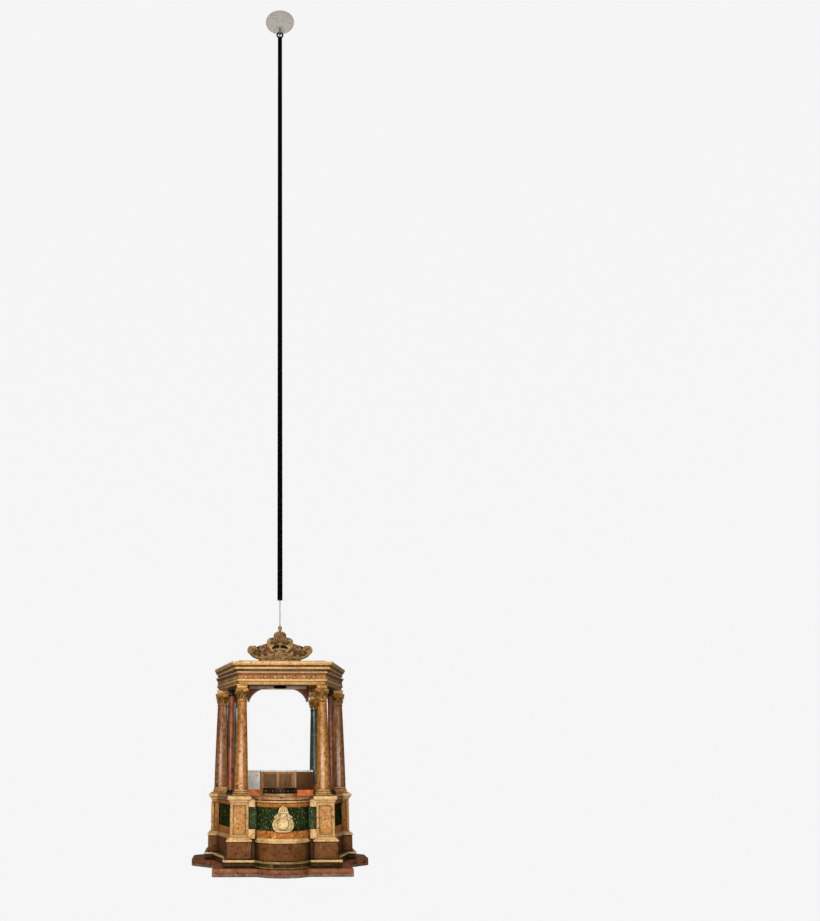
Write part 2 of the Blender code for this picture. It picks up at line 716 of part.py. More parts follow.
def build_rear(temple):
    """The rear screen, with a gate that swings out on a pin and a turn-button beside it."""
    front, back = SCREEN_Y - SCREEN_HALF_THICKNESS, SCREEN_Y + SCREEN_HALF_THICKNESS
    side, inner = SCREEN_HALF_WIDTH, GATE_HALF_WIDTH + 0.6
    low, sill = SECOND_STEP_TOP + GAP, GATE_BOTTOM - 0.6
    outline = [(-side, low), (side, low), (side, SCREEN_TOP), (inner, SCREEN_TOP), (inner, sill)]
    outline += [(-inner, sill), (-inner, SCREEN_TOP), (-side, SCREEN_TOP)]
    screen = prism("rear_screen", outline, front, back, "panel_wood", upright=True)
    screen = place("rear_screen", screen, temple)
    ax, ay = GATE_AXIS
    for bottom in LUG_BOTTOMS:
        top = bottom + LUG_HEIGHT
        lug = box("lug", (ax - 8, back - 0.5, bottom), (ax, ay + 2.4, top), "brass")
        combine(screen, lug, "UNION")
        eye = loft("lug_eye", [(HINGE_RADIUS, bottom + 0.05), (HINGE_RADIUS, top - 0.05)], "brass", 12)
        combine(screen, eye, "UNION", (ax, ay, 0))
        bore = HINGE_PIN_RADIUS + GAP
        bore = loft("lug_bore", [(bore, bottom - 1), (bore, top + 1)], "brass", 12)
        combine(screen, bore, "DIFFERENCE", (ax, ay, 0))

    pivot = empty("gate_axis", (ax, ay, 0), temple)
    leaf_front, leaf_back = SCREEN_Y - 3 - ay, SCREEN_Y + 3 - ay
    gate = box(
        "rear_gate",
        (-GATE_HALF_WIDTH - ax, leaf_front, GATE_BOTTOM),
        (GATE_HALF_WIDTH - ax, leaf_back, SCREEN_TOP - 0.4),
        "panel_wood",
    )
    gate = place("rear_gate", gate, pivot)
    for bottom in BARREL_BOTTOMS:
        top = bottom + BARREL_HEIGHT
        barrel = loft("barrel", [(HINGE_RADIUS, bottom), (HINGE_RADIUS, top)], "brass", 12)
        combine(gate, barrel, "UNION")
        strap = box("strap", (-0.5, leaf_back - 0.5, bottom + 1), (12, -1.2, top - 1), "brass")
        combine(gate, strap, "UNION")
        bore = HINGE_PIN_RADIUS + 0.6
        bore = loft("barrel_bore", [(bore, bottom - 1), (bore, top + 1)], "brass", 12)
        combine(gate, bore, "DIFFERENCE")
    pin = loft(
        "gate_pin",
        [(HINGE_PIN_RADIUS, 34), (HINGE_PIN_RADIUS, 159 + GAP), (2.2, 159 + GAP), (2.2, 161)],
        "brass",
        12,
    )
    place("gate_pin", pin, temple, (ax, ay, 0))

    knob = loft("gate_knob", [(1.5, 0), (1.5, 3), (3.4, 4.5), (3.4, 6.5), (2, 8)], "brass", 12)
    place("gate_knob", lay_down(knob), pivot, (27 - ax, leaf_back + GAP, LATCH_PIVOT[1]))

    latch_x, latch_z = LATCH_PIVOT
    latch_axis = empty("latch_axis", (latch_x, back + GAP, latch_z), temple)
    latch = box("gate_latch", (-2.5, 0, -8), (2.5, 2.5, 8), "brass")
    latch = place("gate_latch", latch, latch_axis)
    head = loft("latch_head", [(2.2, 2), (2.2, 3.6), (1.2, 4.2)], "brass", 12)
    combine(latch, lay_down(head), "UNION")


def build_lamp(axis):
    """The oil lamp: a bronze bowl on a turned foot, and a glass cup that lifts out with its wick holder."""
    bowl = [
        (24, SECOND_STEP_TOP + GAP),
        (24, 30),
        (10, 35),
        (5.5, 46),
        (7.5, 74),
        (11, 84),
        (5.5, 94),
        (7, 102),
        (20, 107),
        (30, 117),
        (33.5, 127),
        (33.5, 134.7),
        (31, 134.7),
        (30.5, 127.5),
        (22, 113),
        (14, 111),
    ]
    place("lamp_bowl", loft("lamp_bowl", bowl, "black_bronze", 24), axis)
    lift = empty("glass_lift", (0, 0, 111 + GAP), axis)
    glass = [(12, 0), (14, 1.5), (19, 8), (24, 22), (22.4, 22), (17.6, 9.2), (12, 3)]
    place("glass_cup", loft("glass_cup", glass, "ruby_glass", 24), lift)
    holder = [(17.3, 10), (17.3, 11.4), (2.4, 12), (1.3, 13), (1.1, 18)]
    place("wick_holder", loft("wick_holder", holder, "brass", 24), lift)


def main():
    clear_scene()
    swivel = build_suspension()
    axis = empty("temple_axis", (0, 0, TEMPLE_BASE - ROD_END), swivel)
    temple = empty("temple_plan", (0, PLAN_SHIFT, 0), axis)
    build_crest(axis)
    build_roof(temple, axis)
    build_smoke_bell(axis)
    build_columns(temple)
    build_pedestals(temple)
    build_parapet(temple)
    build_steps(temple)
    build_rear(temple)
    build_lamp(axis)


main()
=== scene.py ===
"""The looks of a hanging sanctuary lamp: a small marble temple on a long black rod.

Meshes are drawn in millimetres, in the temple's plan: x and y from the middle of its columns, and
heights up from its underside. Places come from the CAD parts in model.glb.
"""

import math

import bmesh
import bpy
from mathutils import Matrix, Vector


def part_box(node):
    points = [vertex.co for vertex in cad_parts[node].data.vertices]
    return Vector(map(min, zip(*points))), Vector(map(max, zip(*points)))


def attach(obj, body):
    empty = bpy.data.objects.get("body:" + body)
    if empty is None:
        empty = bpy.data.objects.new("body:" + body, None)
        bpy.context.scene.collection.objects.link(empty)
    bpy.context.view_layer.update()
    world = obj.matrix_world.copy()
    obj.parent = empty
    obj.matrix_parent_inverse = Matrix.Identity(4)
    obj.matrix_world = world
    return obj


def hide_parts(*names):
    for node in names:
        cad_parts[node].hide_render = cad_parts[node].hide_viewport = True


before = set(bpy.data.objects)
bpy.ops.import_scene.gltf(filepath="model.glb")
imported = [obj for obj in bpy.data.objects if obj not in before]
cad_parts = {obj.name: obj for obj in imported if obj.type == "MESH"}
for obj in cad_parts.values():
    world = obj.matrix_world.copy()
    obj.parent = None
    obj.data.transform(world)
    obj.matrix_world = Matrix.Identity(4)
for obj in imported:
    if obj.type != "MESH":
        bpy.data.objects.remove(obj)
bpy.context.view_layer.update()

MM = 0.001
TURN = 2 * math.pi
SHARP = 35  # degrees; a fold over this angle stays sharp
GAP = 0.35  # play between stones that meet
CORNERS = ("front_left", "front_right", "rear_left", "rear_right")


def middle(node):
    low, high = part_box(node)
    return (low + high) / 2


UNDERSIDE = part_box("bottom_step")[0].z
PLAN_Y = (middle("column_front_left").y + middle("column_rear_left").y) / 2
PLAN = Vector((0, PLAN_Y, UNDERSIDE))


def heights(node):
    """A node's underside and top above the temple's underside, in millimetres."""
    return [(corner.z - UNDERSIDE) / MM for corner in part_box(node)]


def depths(node):
    """A node's front and back in the temple's plan, in millimetres."""
    return [(corner.y - PLAN_Y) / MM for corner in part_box(node)]


def plan(node):
    """A node's middle in the temple's plan, in millimetres."""
    spot = (middle(node) - PLAN) / MM
    return spot.x, spot.y


STEP_TOP = heights("bottom_step")[1]
SECOND_STEP = heights("second_step")
COPING_TOP = heights("front_bow")[1]
SCREEN_TOP = heights("rear_screen")[1]
SHAFT_TOP = heights("column_front_left")[1]
CAPITAL = heights("capital_front_left")
ARCHITRAVE = heights("architrave")
FRIEZE = heights("frieze")
CORNICE = heights("cornice")

# Courses of the parapet, above the second step
PLINTH_TOP = SECOND_STEP[1] + 27.5
RAIL_BOTTOM = SECOND_STEP[1] + 35
PANEL_BOTTOM = SECOND_STEP[1] + 47
PANEL_TOP = COPING_TOP - 16.4
RAIL_TOP = COPING_TOP - 9.4
BOW_RADIUS = 38.5
BOW_FRONT = 10.5  # how far the bow's base moulding stands out from its centreline
BOW_CENTRE = depths("front_bow")[0] + BOW_RADIUS + BOW_FRONT
DIE_HALF = 15.5  # half the width of a pedestal's shaft

CORNICE_REACH = 22  # how far the cornice's top stands out from its line
CORNICE_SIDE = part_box("cornice")[1].x / MM - CORNICE_REACH
STAGE_GLOW = 0.905
WARM = (1, 0.94, 0.85)


# Mesh tools


def mesh_of(name, bm):
    """Turns a bmesh, drawn in millimetres, into a mesh."""
    bmesh.ops.recalc_face_normals(bm, faces=bm.faces)
    bmesh.ops.scale(bm, vec=(MM, MM, MM), verts=bm.verts)
    mesh = bpy.data.meshes.new(name)
    bm.to_mesh(mesh)
    bm.free()
    return mesh


def smooth(mesh, angle=SHARP):
    mesh.shade_smooth()
    mesh.set_sharp_from_angle(angle=math.radians(angle))


def finish_piece(name, bm, material, body="temple", node=None, origin=PLAN, angle=SHARP):
    """Makes a bmesh, drawn in millimetres, into a piece that rides on a body."""
    mesh = mesh_of(name, bm)
    smooth(mesh, angle)
    return place_mesh(name, mesh, material, body, node, origin)


def place_mesh(name, mesh, material, body, node, origin):
    """Makes a mesh into a piece. node is the CAD node that it stands for, where there is one."""
    piece = bpy.data.objects.new(name, mesh)
    bpy.context.scene.collection.objects.link(piece)
    piece.location = origin
    if not mesh.materials:
        mesh.materials.append(material)
    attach(piece, body)
    if node:
        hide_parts(node)
    return piece


def bridge(bm, rings, closed=False):
    """Faces between rings of vertices, with a cap at each end unless the last meets the first."""
    pairs = list(zip(rings, rings[1:]))
    if closed:
        pairs.append((rings[-1], rings[0]))
    for low, high in pairs:
        for i in range(len(low)):
            j = (i + 1) % len(low)
            bm.faces.new((low[i], low[j], high[j], high[i]))
    if not closed:
        bm.faces.new(rings[0])
        bm.faces.new(rings[-1])


def loft(bm, outlines, closed=False):
    """A body through outlines, each a list of (x, y, z)."""
    bridge(bm, [[bm.verts.new(point) for point in outline] for outline in outlines], closed)
    return bm


def polar(radius, angle, centre=(0, 0)):
    """The point of a circle at an angle in radians."""
    return centre[0] + radius * math.cos(angle), centre[1] + radius * math.sin(angle)


def raised(z, profile):
    """A profile whose heights are given from z."""
    return [(across, z + rise) for across, rise in profile]


def turn(bm, profile, sides=48, centre=(0, 0), closed=False):
    """A turned body. A profile point is (radius, height)."""
    angles = [TURN * i / sides for i in range(sides)]
    outlines = [[(*polar(radius, angle, centre), z) for angle in angles] for radius, z in profile]
    return loft(bm, outlines, closed)


def turned(profile, sides=48, centre=(0, 0), closed=False):
    return turn(bmesh.new(), profile, sides, centre, closed)


def rounded_rectangle(half_x, half_y, radius=0.7, steps=3):
    points = []
    for corner, (sx, sy) in enumerate(((1, 1), (-1, 1), (-1, -1), (1, -1))):
        for i in range(steps + 1):
            angle = math.pi / 2 * (corner + i / steps)
            points.append(polar(radius, angle, (sx * (half_x - radius), sy * (half_y - radius))))
    return points


def squared(profile, centre, extra_y=0.0, bm=None):
    """A body with a rounded square section. A profile point is (half width, height)."""
    outlines = []
    for half, z in profile:
        shape = rounded_rectangle(half, half + extra_y)
        outlines.append([(centre[0] + x, centre[1] + y, z) for x, y in shape])
    return loft(bm or bmesh.new(), outlines)


def side_offsets(path, closed):
    """The vector that moves each point of a plan path 1 mm out, to the right of the way it runs."""
    offsets = []
    count = len(path)
    for i, here in enumerate(path):
        before = path[i - 1] if closed or i else None
        after = path[(i + 1) % count] if closed or i < count - 1 else None
        ways = []
        for a, b in ((before, here), (here, after)):
            if a is not None and b is not None:
                way = (Vector(b) - Vector(a)).normalized()
                ways.append(Vector((way.y, -way.x)))
        mean = sum(ways, Vector((0, 0))).normalized()
        offsets.append(mean / mean.dot(ways[0]))
    return offsets


def outline_at(path, offset):
    return [tuple(Vector(p) + n * offset) for p, n in zip(path, side_offsets(path, True))]


def sweep(path, profile, closed=False):
    """A moulding: a closed profile of (offset, height) carried along a plan path."""
    outlines = []
    for point, normal in zip(path, side_offsets(path, closed)):
        spots = [(Vector(point) + normal * offset, z) for offset, z in profile]
        outlines.append([(p.x, p.y, z) for p, z in spots])
    return loft(bmesh.new(), outlines, closed)


def both_sides(half):
    """A symmetric outline from its outer half, a list of (offset, height) going up."""
    return half + [(-offset, z) for offset, z in reversed(half)]


def stacked(outline, levels):
    """A slab through offsets of one outline. A level is (offset, height)."""
    return loft(bmesh.new(), [[(x, y, z) for x, y in outline_at(outline, offset)] for offset, z in levels])


def block(bm, corner, opposite, bevel=0.3):
    """A box with eased edges, between two opposite corners in any order."""
    low, high = (Vector([pick(pair) for pair in zip(corner, opposite)]) for pick in (min, max))
    made = bmesh.ops.create_cube(bm, size=1)["verts"]
    bmesh.ops.scale(bm, vec=high - low, verts=made)
    bmesh.ops.translate(bm, vec=(low + high) / 2, verts=made)
    edges = list({edge for vert in made for edge in vert.link_edges})
    bmesh.ops.bevel(bm, geom=edges, offset=bevel, segments=2, profile=0.7, affect="EDGES")
    return bm


def tube(bm, points, radii, sides=10, flat=1.0):
    """A rod through points. radii is a number, or one for each point. flat scales its section along Y."""
    if not isinstance(radii, list):
        radii = [radii] * len(points)
    rings = []
    for i, point in enumerate(points):
        ahead = Vector(points[min(i + 1, len(points) - 1)])
        along = (ahead - Vector(points[max(i - 1, 0)])).normalized()
        side = along.cross(Vector((0, 1, 0))).normalized()
        up = side.cross(along).normalized()
        ring = []
        for j in range(sides):
            angle = TURN * j / sides
            reach = side * math.cos(angle) + up * math.sin(angle) * flat
            ring.append(bm.verts.new(Vector(point) + reach * radii[i]))
        rings.append(ring)
    bridge(bm, rings)
    return bm


def smooth_path(points, steps=8):
    """Points on a Catmull-Rom curve through the given ones."""
    out = []
    spots = [Vector(p) for p in points]
    spots = [2 * spots[0] - spots[1], *spots, 2 * spots[-1] - spots[-2]]
    for a, b, c, d in zip(spots, spots[1:], spots[2:], spots[3:]):
        for i in range(steps):
            t = i / steps
            out.append(0.5 * (2 * b + (c - a) * t + (2 * a - 5 * b + 4 * c - d) * t**2
                              + (3 * b - a - 3 * c + d) * t**3))
    out.append(spots[-2])
    return out


def spiral(centre, start, turns, radius, end_radius, steps=14):
    """A flat spiral in the XZ plane, from an angle in radians."""
    points = []
    count = int(abs(turns) * steps)
    for i in range(count + 1):
        t = i / count
        reach = radius + (end_radius - radius) * t
        x, z = polar(reach, start + TURN * turns * t, centre)
        points.append(Vector((x, 0, z)))
    return points


def bead(bm, points, y, radii, sign=1):
    """A rounded line through points of the XZ plane, set at y. A sign of -1 mirrors it in X."""
    tube(bm, [Vector((sign * p.x, y, p.z)) for p in points], radii, 8)


def leaf(bm, matrix, length, width, curl=1.2, lobes=4, thickness=0.5, rows=12):
    """An acanthus leaf that grows up +Z and curls forward, towards -Y."""
    columns = 6
    grid = []
    spot, lean = Vector((0, 0, 0)), 0.0
    for i in range(rows + 1):
        t = i / rows
        if i:
            lean = curl * t**2.2
            spot = spot + Vector((0, -math.sin(lean), math.cos(lean))) * (length / rows)
        out = Vector((0, -math.cos(lean), -math.sin(lean)))
        lobe = 1 - 0.28 * abs(math.sin(math.pi * lobes * t)) ** 0.6
        half = width / 2 * (0.62 + 0.5 * math.sin(math.pi * t**0.7)) * (1 - t**5) * lobe + 0.02 * width
        row = []
        for j in range(columns + 1):
            v = 2 * j / columns - 1
            rib = 0.22 * width * (1 - abs(v) ** 0.7) * (1 - 0.5 * t)
            ripple = 0.04 * width * math.sin(9 * abs(v) + 6 * t)
            row.append(bm.verts.new(matrix @ (spot + Vector((half * v, 0, 0)) + out * (rib + ripple))))
        grid.append(row)
    faces = []
    for low, high in zip(grid, grid[1:]):
        for j in range(columns):
            faces.append(bm.faces.new((low[j], low[j + 1], high[j + 1], high[j])))
    bmesh.ops.solidify(bm, geom=faces, thickness=thickness)
    return bm


def standing(x, y, z, turn_z=0.0, roll=0.0):
    """A frame at a point. roll turns it in the XZ plane before turn_z turns it about Z."""
    return Matrix.Translation((x, y, z)) @ Matrix.Rotation(turn_z, 4, "Z") @ Matrix.Rotation(roll, 4, "Y")


def prism(bm, outline, low, high, bevel=0.0):
    """An outline in X and Z with thickness along Y, and eased edges."""
    face = bm.faces.new([bm.verts.new((x, low, z)) for x, z in outline])
    made = bmesh.ops.extrude_face_region(bm, geom=[face])["geom"]
    moved = [v for v in made if isinstance(v, bmesh.types.BMVert)]
    bmesh.ops.translate(bm, vec=(0, high - low, 0), verts=moved)
    if bevel:
        bmesh.ops.recalc_face_normals(bm, faces=bm.faces)
        flat = [e for v in [*face.verts, *moved] for e in v.link_edges]
        rims = [e for e in set(flat) if abs(e.verts[0].co.y - e.verts[1].co.y) < 1e-6]
        bmesh.ops.bevel(bm, geom=rims, offset=bevel, segments=2, profile=0.6, affect="EDGES")
    return bm


def ball(bm, centre, radius, squash=1.0, sides=12):
    matrix = Matrix.Translation(centre) @ Matrix.Diagonal((1, squash, 1, 1))
    bmesh.ops.create_uvsphere(bm, u_segments=sides, v_segments=sides // 2, radius=radius, matrix=matrix)
    return bm


def add_to(bm, other, matrix):
    """Moves another bmesh's faces into bm, placed by a matrix."""
    bmesh.ops.transform(other, matrix=matrix, verts=other.verts)
    mesh = bpy.data.meshes.new("part")
    other.to_mesh(mesh)
    other.free()
    bm.from_mesh(mesh)
    bpy.data.meshes.remove(mesh)


def linear(start, end, steps):
    return [start + (end - start) * i / steps for i in range(steps + 1)]


def cut(piece, bm, origin):
    """Cuts a bmesh, drawn in millimetres, out of a piece for good."""
    cutter = bpy.data.objects.new("cutter", mesh_of("cutter", bm))
    bpy.context.scene.collection.objects.link(cutter)
    cutter.location = origin
    modifier = piece.modifiers.new("cut", "BOOLEAN")
    modifier.operation = "DIFFERENCE"
    modifier.object = cutter
    bpy.context.view_layer.update()
    done = bpy.data.meshes.new_from_object(piece.evaluated_get(bpy.context.evaluated_depsgraph_get()))
    piece.modifiers.clear()
    piece.data = done
    bpy.data.objects.remove(cutter)


# Materials


class Shader:
    """A material's nodes. An input is a number, a colour or another node's output socket."""

    def __init__(self, name, **values):
        self.material = bpy.data.materials.new(name)
        self.material.use_nodes = True
        self.tree = self.material.node_tree
        self.surface = self.tree.nodes["Principled BSDF"]
        self.set(self.surface, values)
        self.coordinates = self.tree.nodes.new("ShaderNodeTexCoord").outputs["Object"]

    def set(self, node, values):
        for key, value in values.items():
            socket = node.inputs[key.replace("_", " ") if isinstance(key, str) else key]
            if isinstance(value, bpy.types.NodeSocket):
                self.tree.links.new(value, socket)
            elif isinstance(value, tuple) and len(value) == 3 and socket.type == "RGBA":
                socket.default_value = (*value, 1)
            else:
                socket.default_value = value

    def node(self, kind, values, **settings):
        node = self.tree.nodes.new("ShaderNode" + kind)
        for key, value in settings.items():
            setattr(node, key, value)
        self.set(node, values)
        return node

    def noise(self, scale, detail=4.0, roughness=0.6, distortion=0.0, stretch=None):
        vector = self.coordinates
        if stretch:
            vector = self.node("Mapping", {"Vector": vector, "Scale": stretch}).outputs[0]
        made = {"Vector": vector, "Scale": scale, "Detail": detail, "Roughness": roughness}
        return self.node("TexNoise", {**made, "Distortion": distortion}).outputs["Fac"]

    def ramp(self, fac, stops):
        node = self.node("ValToRGB", {"Fac": fac})
        elements = node.color_ramp.elements
        while len(elements) < len(stops):
            elements.new(0.5)
        for element, (place, colour) in zip(elements, stops):
            element.position = place
            element.color = (*colour, 1) if isinstance(colour, tuple) else (colour, colour, colour, 1)
        return node.outputs["Color"]

    def mix(self, fac, a, b, blend="MIX"):
        node = self.node("Mix", {}, data_type="RGBA", blend_type=blend)
        self.set(node, {0: fac, 6: a, 7: b})
        return node.outputs[2]

    def crevices(self, distance):
        """1 on open faces, towards 0 in corners and hollows."""
        node = self.node("AmbientOcclusion", {"Distance": distance}, samples=6)
        return node.outputs["AO"]

    def bump(self, fac, strength, distance):
        node = self.node("Bump", {"Height": fac, "Strength": strength, "Distance": distance})
        self.set(self.surface, {"Normal": node.outputs["Normal"]})

    def roughen(self, fac, low, high):
        node = self.node("MapRange", {"Value": fac, "To Min": low, "To Max": high})
        self.tree.links.new(node.outputs[0], self.surface.inputs["Roughness"])


def shaded(colour, share):
    return tuple(share * channel for channel in colour)


def marble(name, dark, body, light, grain=110.0, specks=0.35, speck=(0.02, 0.01, 0.005), veins=0.3,
           coat=0.0, gloss=0.1):
    """Polished stone: clouds of three tones, specks, pale veins, stains, and painted shade in corners and
    hollows.
    """
    shader = Shader(name, Coat_Weight=coat, Coat_Roughness=0.2, Specular_IOR_Level=gloss)
    cloud = shader.noise(grain, 8, 0.68, 0.9)
    colour = shader.ramp(cloud, [(0.35, dark), (0.46, body), (0.55, body), (0.67, light)])
    fine = shader.noise(grain * 2.2, 3, 0.6, 0.3)
    spots = shader.ramp(fine, [(0.60 - 0.08 * specks, 0.0), (0.68, min(1.0, 0.5 + specks))])
    colour = shader.mix(spots, colour, speck)
    bands = shader.noise(grain * 0.45, 6, 0.55, 2.2)
    lines = shader.ramp(bands, [(0.485, 0.0), (0.50, veins), (0.515, 0.0)])
    colour = shader.mix(lines, colour, light)
    stain = shader.ramp(shader.noise(17, 3, 0.5, 0.4), [(0.50, 0.0), (0.66, 0.42)])
    colour = shader.mix(stain, colour, (0.45, 0.33, 0.22), "MULTIPLY")
    # Painted shade: the colour darkens in hollows and corners, over a wide reach and a tight one.
    wide_painted_shade = shader.ramp(shader.crevices(0.035), [(0.35, 0.92), (0.85, 0.0)])
    colour = shader.mix(wide_painted_shade, colour, shaded(dark, 0.3))
    tight_painted_shade = shader.ramp(shader.crevices(0.004), [(0.25, 0.65), (0.9, 0.0)])
    colour = shader.mix(tight_painted_shade, colour, shaded(dark, 0.18))
    shader.set(shader.surface, {"Base_Color": colour})
    shader.roughen(cloud, 0.182, 0.442)
    shader.bump(fine, 0.12, 0.0003)
    return shader.material


def metal(name, dark, body, light, metallic=0.8, roughness=0.35, grain=160.0, patina_and_shade=0.8, chased=0.3):
    """Cast metal in clouds of three tones, with a dark patina and painted shade in its hollows and a chased
    surface.
    """
    shader = Shader(name, Metallic=metallic)
    cloud = shader.noise(grain, 6, 0.65, 0.4)
    colour = shader.ramp(cloud, [(0.32, dark), (0.52, body), (0.70, light)])
    # Dark patina together with painted shade: the colour darkens in hollows and corners.
    hollow = shader.ramp(shader.crevices(0.004), [(0.35, patina_and_shade), (0.9, 0.0)])
    colour = shader.mix(hollow, colour, shaded(dark, 0.12))
    shader.set(shader.surface, {"Base_Color": colour})
    shader.roughen(cloud, roughness * 0.75, roughness * 1.5)
    shader.bump(shader.noise(grain * 4, 4, 0.6), chased, 0.0004)
    return shader.material


def wood(name, dark, light):
    """Polished timber with its grain drawn out along Z."""
    shader = Shader(name, Coat_Weight=0.05, Coat_Roughness=0.3, Specular_IOR_Level=0.12)
    grain = shader.noise(34, 8, 0.7, 0.6, (9, 9, 1))
    colour = shader.ramp(grain, [(0.34, dark), (0.66, light)])
    # Painted shade: the colour darkens in corners and grooves.
    tight_painted_shade = shader.ramp(shader.crevices(0.003), [(0.3, 0.6), (0.85, 0.0)])
    colour = shader.mix(tight_painted_shade, colour, shaded(dark, 0.2))
    shader.set(shader.surface, {"Base_Color": colour})
    shader.roughen(grain, 0.28, 0.49)
    shader.bump(grain, 0.15, 0.0003)
    return shader.material


def paint(name, colour, worn, roughness, gloss=0.5):
    """Brushed paint with slight runs and worn spots."""
    shader = Shader(name, Specular_IOR_Level=gloss)
    cloud = shader.noise(60, 6, 0.7)
    shader.set(shader.surface, {"Base_Color": shader.ramp(cloud, [(0.4, colour), (0.75, worn)])})
    shader.roughen(cloud, roughness * 0.8, roughness * 1.4)
    shader.bump(shader.noise(220, 3, 0.5, 0.0, (1, 1, 0.15)), 0.15, 0.0003)
    return shader.material


def red_glass():
    shader = Shader("ruby_glass", Transmission_Weight=0.85, IOR=1.5, Coat_Weight=0.3)
    cloud = shader.noise(90, 3, 0.5)
    tint = shader.ramp(cloud, [(0.3, (0.55, 0.01, 0.012)), (0.7, (0.75, 0.03, 0.02))])
    shader.set(shader.surface, {"Base_Color": tint})
    shader.roughen(cloud, 0.03, 0.10)
    shader.bump(shader.noise(140, 2, 0.5), 0.1, 0.0004)
    return shader.material


GOLDEN = marble(
    "golden_marble", (0.13, 0.038, 0.004), (0.41, 0.16, 0.022), (0.78, 0.46, 0.13),
    grain=95, specks=0.9, coat=0.9,
)
TAWNY = marble(
    "tawny_marble", (0.055, 0.021, 0.006), (0.25, 0.095, 0.026), (0.5, 0.28, 0.11),
    grain=95, specks=0.8, coat=0.9,
)
ROSY = marble(
    "rosy_marble", (0.13, 0.05, 0.02), (0.42, 0.2, 0.08), (0.68, 0.42, 0.22),
    grain=110, specks=0.4, coat=0.4,
)
AMBER = marble(
    "amber_marble", (0.27, 0.13, 0.04), (0.7, 0.42, 0.165), (0.95, 0.75, 0.46),
    grain=110, specks=0.3, coat=1.0, gloss=0.5,
)
DARK_GREEN = marble(
    "dark_green_marble", (0.005, 0.01, 0.008), (0.022, 0.042, 0.035), (0.14, 0.18, 0.18),
    grain=80, coat=0.5,
)
RED = marble(
    "red_marble", (0.055, 0.01, 0.006), (0.25, 0.058, 0.018), (0.42, 0.18, 0.07),
    grain=90, specks=0.4, coat=0.4,
)
ORANGE = marble(
    "orange_marble", (0.17, 0.045, 0.008), (0.54, 0.19, 0.034), (0.8, 0.46, 0.17), grain=120, specks=0.5
)
DADO = marble(
    "dado_marble", (0.34, 0.06, 0.012), (0.8, 0.19, 0.045), (0.92, 0.42, 0.14), grain=120, specks=0.3
)
SPECKLED = marble(
    "speckled_marble", (0.26, 0.1, 0.025), (0.57, 0.275, 0.085), (0.86, 0.6, 0.31),
    grain=130, specks=0.6, speck=(0.16, 0.05, 0.01),
)
CREAM = marble(
    "cream_marble", (0.29, 0.125, 0.034), (0.62, 0.35, 0.125), (0.86, 0.62, 0.33), grain=120, specks=0.3
)
PALE = marble(
    "pale_marble", (0.46, 0.25, 0.09), (0.76, 0.49, 0.22), (0.95, 0.76, 0.47), grain=120, specks=0.1
)
IVORY = marble(
    "ivory_marble", (0.52, 0.34, 0.14), (0.84, 0.62, 0.31), (1.0, 0.88, 0.6), grain=120, specks=0.1
)
BROWN = marble(
    "brown_marble", (0.036, 0.013, 0.004), (0.17, 0.066, 0.019), (0.27, 0.14, 0.065), grain=100, specks=0.3
)
GREEN = marble(
    "green_marble", (0.003, 0.006, 0.002), (0.012, 0.025, 0.007), (0.07, 0.11, 0.04),
    grain=150, specks=0.35, speck=(0.3, 0.34, 0.15), veins=0.5, gloss=0.0,
)
MAROON = marble(
    "maroon_marble", (0.04, 0.009, 0.006), (0.22, 0.055, 0.036), (0.44, 0.22, 0.13), grain=100, specks=0.3
)
STEP_RED = marble(
    "step_marble", (0.058, 0.016, 0.007), (0.24, 0.08, 0.034), (0.42, 0.21, 0.11), grain=90, specks=0.3
)
STEP_GREY = marble(
    "step_edge_marble", (0.09, 0.055, 0.035), (0.21, 0.135, 0.09), (0.38, 0.29, 0.22),
    grain=90, specks=0.2,
)
OLIVE = marble(
    "olive_marble", (0.015, 0.009, 0.003), (0.07, 0.036, 0.009), (0.2, 0.13, 0.05),
    grain=110, specks=0.3, coat=0.3,
)
OLIVE_GOLD = marble(
    "olive_gold_marble", (0.1, 0.062, 0.018), (0.27, 0.185, 0.065), (0.5, 0.38, 0.17),
    grain=110, specks=0.3, coat=0.6,
)
SEA_GREEN = marble(
    "sea_green_marble", (0.012, 0.024, 0.009), (0.05, 0.08, 0.032), (0.12, 0.17, 0.08),
    grain=130, specks=0.5, speck=(0.34, 0.46, 0.28), veins=0.3, gloss=0.0,
)
SOFFIT = marble(
    "soffit_marble", (0.3, 0.22, 0.12), (0.62, 0.52, 0.33), (0.8, 0.72, 0.5), grain=100, specks=0.3
)
GREY = marble(
    "grey_marble", (0.36, 0.37, 0.38), (0.58, 0.6, 0.62), (0.74, 0.77, 0.79), grain=70, specks=0.15
)
CARVED = metal(
    "carved_gilt", (0.09, 0.042, 0.013), (0.42, 0.235, 0.085), (0.66, 0.43, 0.2),
    metallic=0.25, roughness=0.42, grain=130, chased=0.15,
)
GILT = metal(
    "gilt_metal", (0.16, 0.07, 0.013), (0.48, 0.24, 0.052), (0.8, 0.5, 0.16),
    metallic=0.45, roughness=0.33, grain=150,
)
BRASS = metal(
    "brass", (0.3, 0.17, 0.05), (0.62, 0.41, 0.15), (0.8, 0.6, 0.28),
    metallic=1.0, roughness=0.25, grain=90, patina_and_shade=0.6, chased=0.1,
)
BRONZE = metal(
    "black_bronze", (0.004, 0.004, 0.003), (0.016, 0.014, 0.011), (0.06, 0.05, 0.03),
    metallic=0.7, roughness=0.35,
)
STEEL = metal(
    "pale_steel", (0.5, 0.5, 0.49), (0.62, 0.62, 0.61), (0.74, 0.74, 0.73),
    metallic=0.9, roughness=0.42, grain=60, patina_and_shade=0.2, chased=0.05,
)
BLACK = paint("black_paint", (0.001, 0.001, 0.001), (0.004, 0.003, 0.003), roughness=0.6, gloss=0.05)
WHITE = paint("white_paint", (0.86, 0.86, 0.84), (0.78, 0.77, 0.74), roughness=0.45)
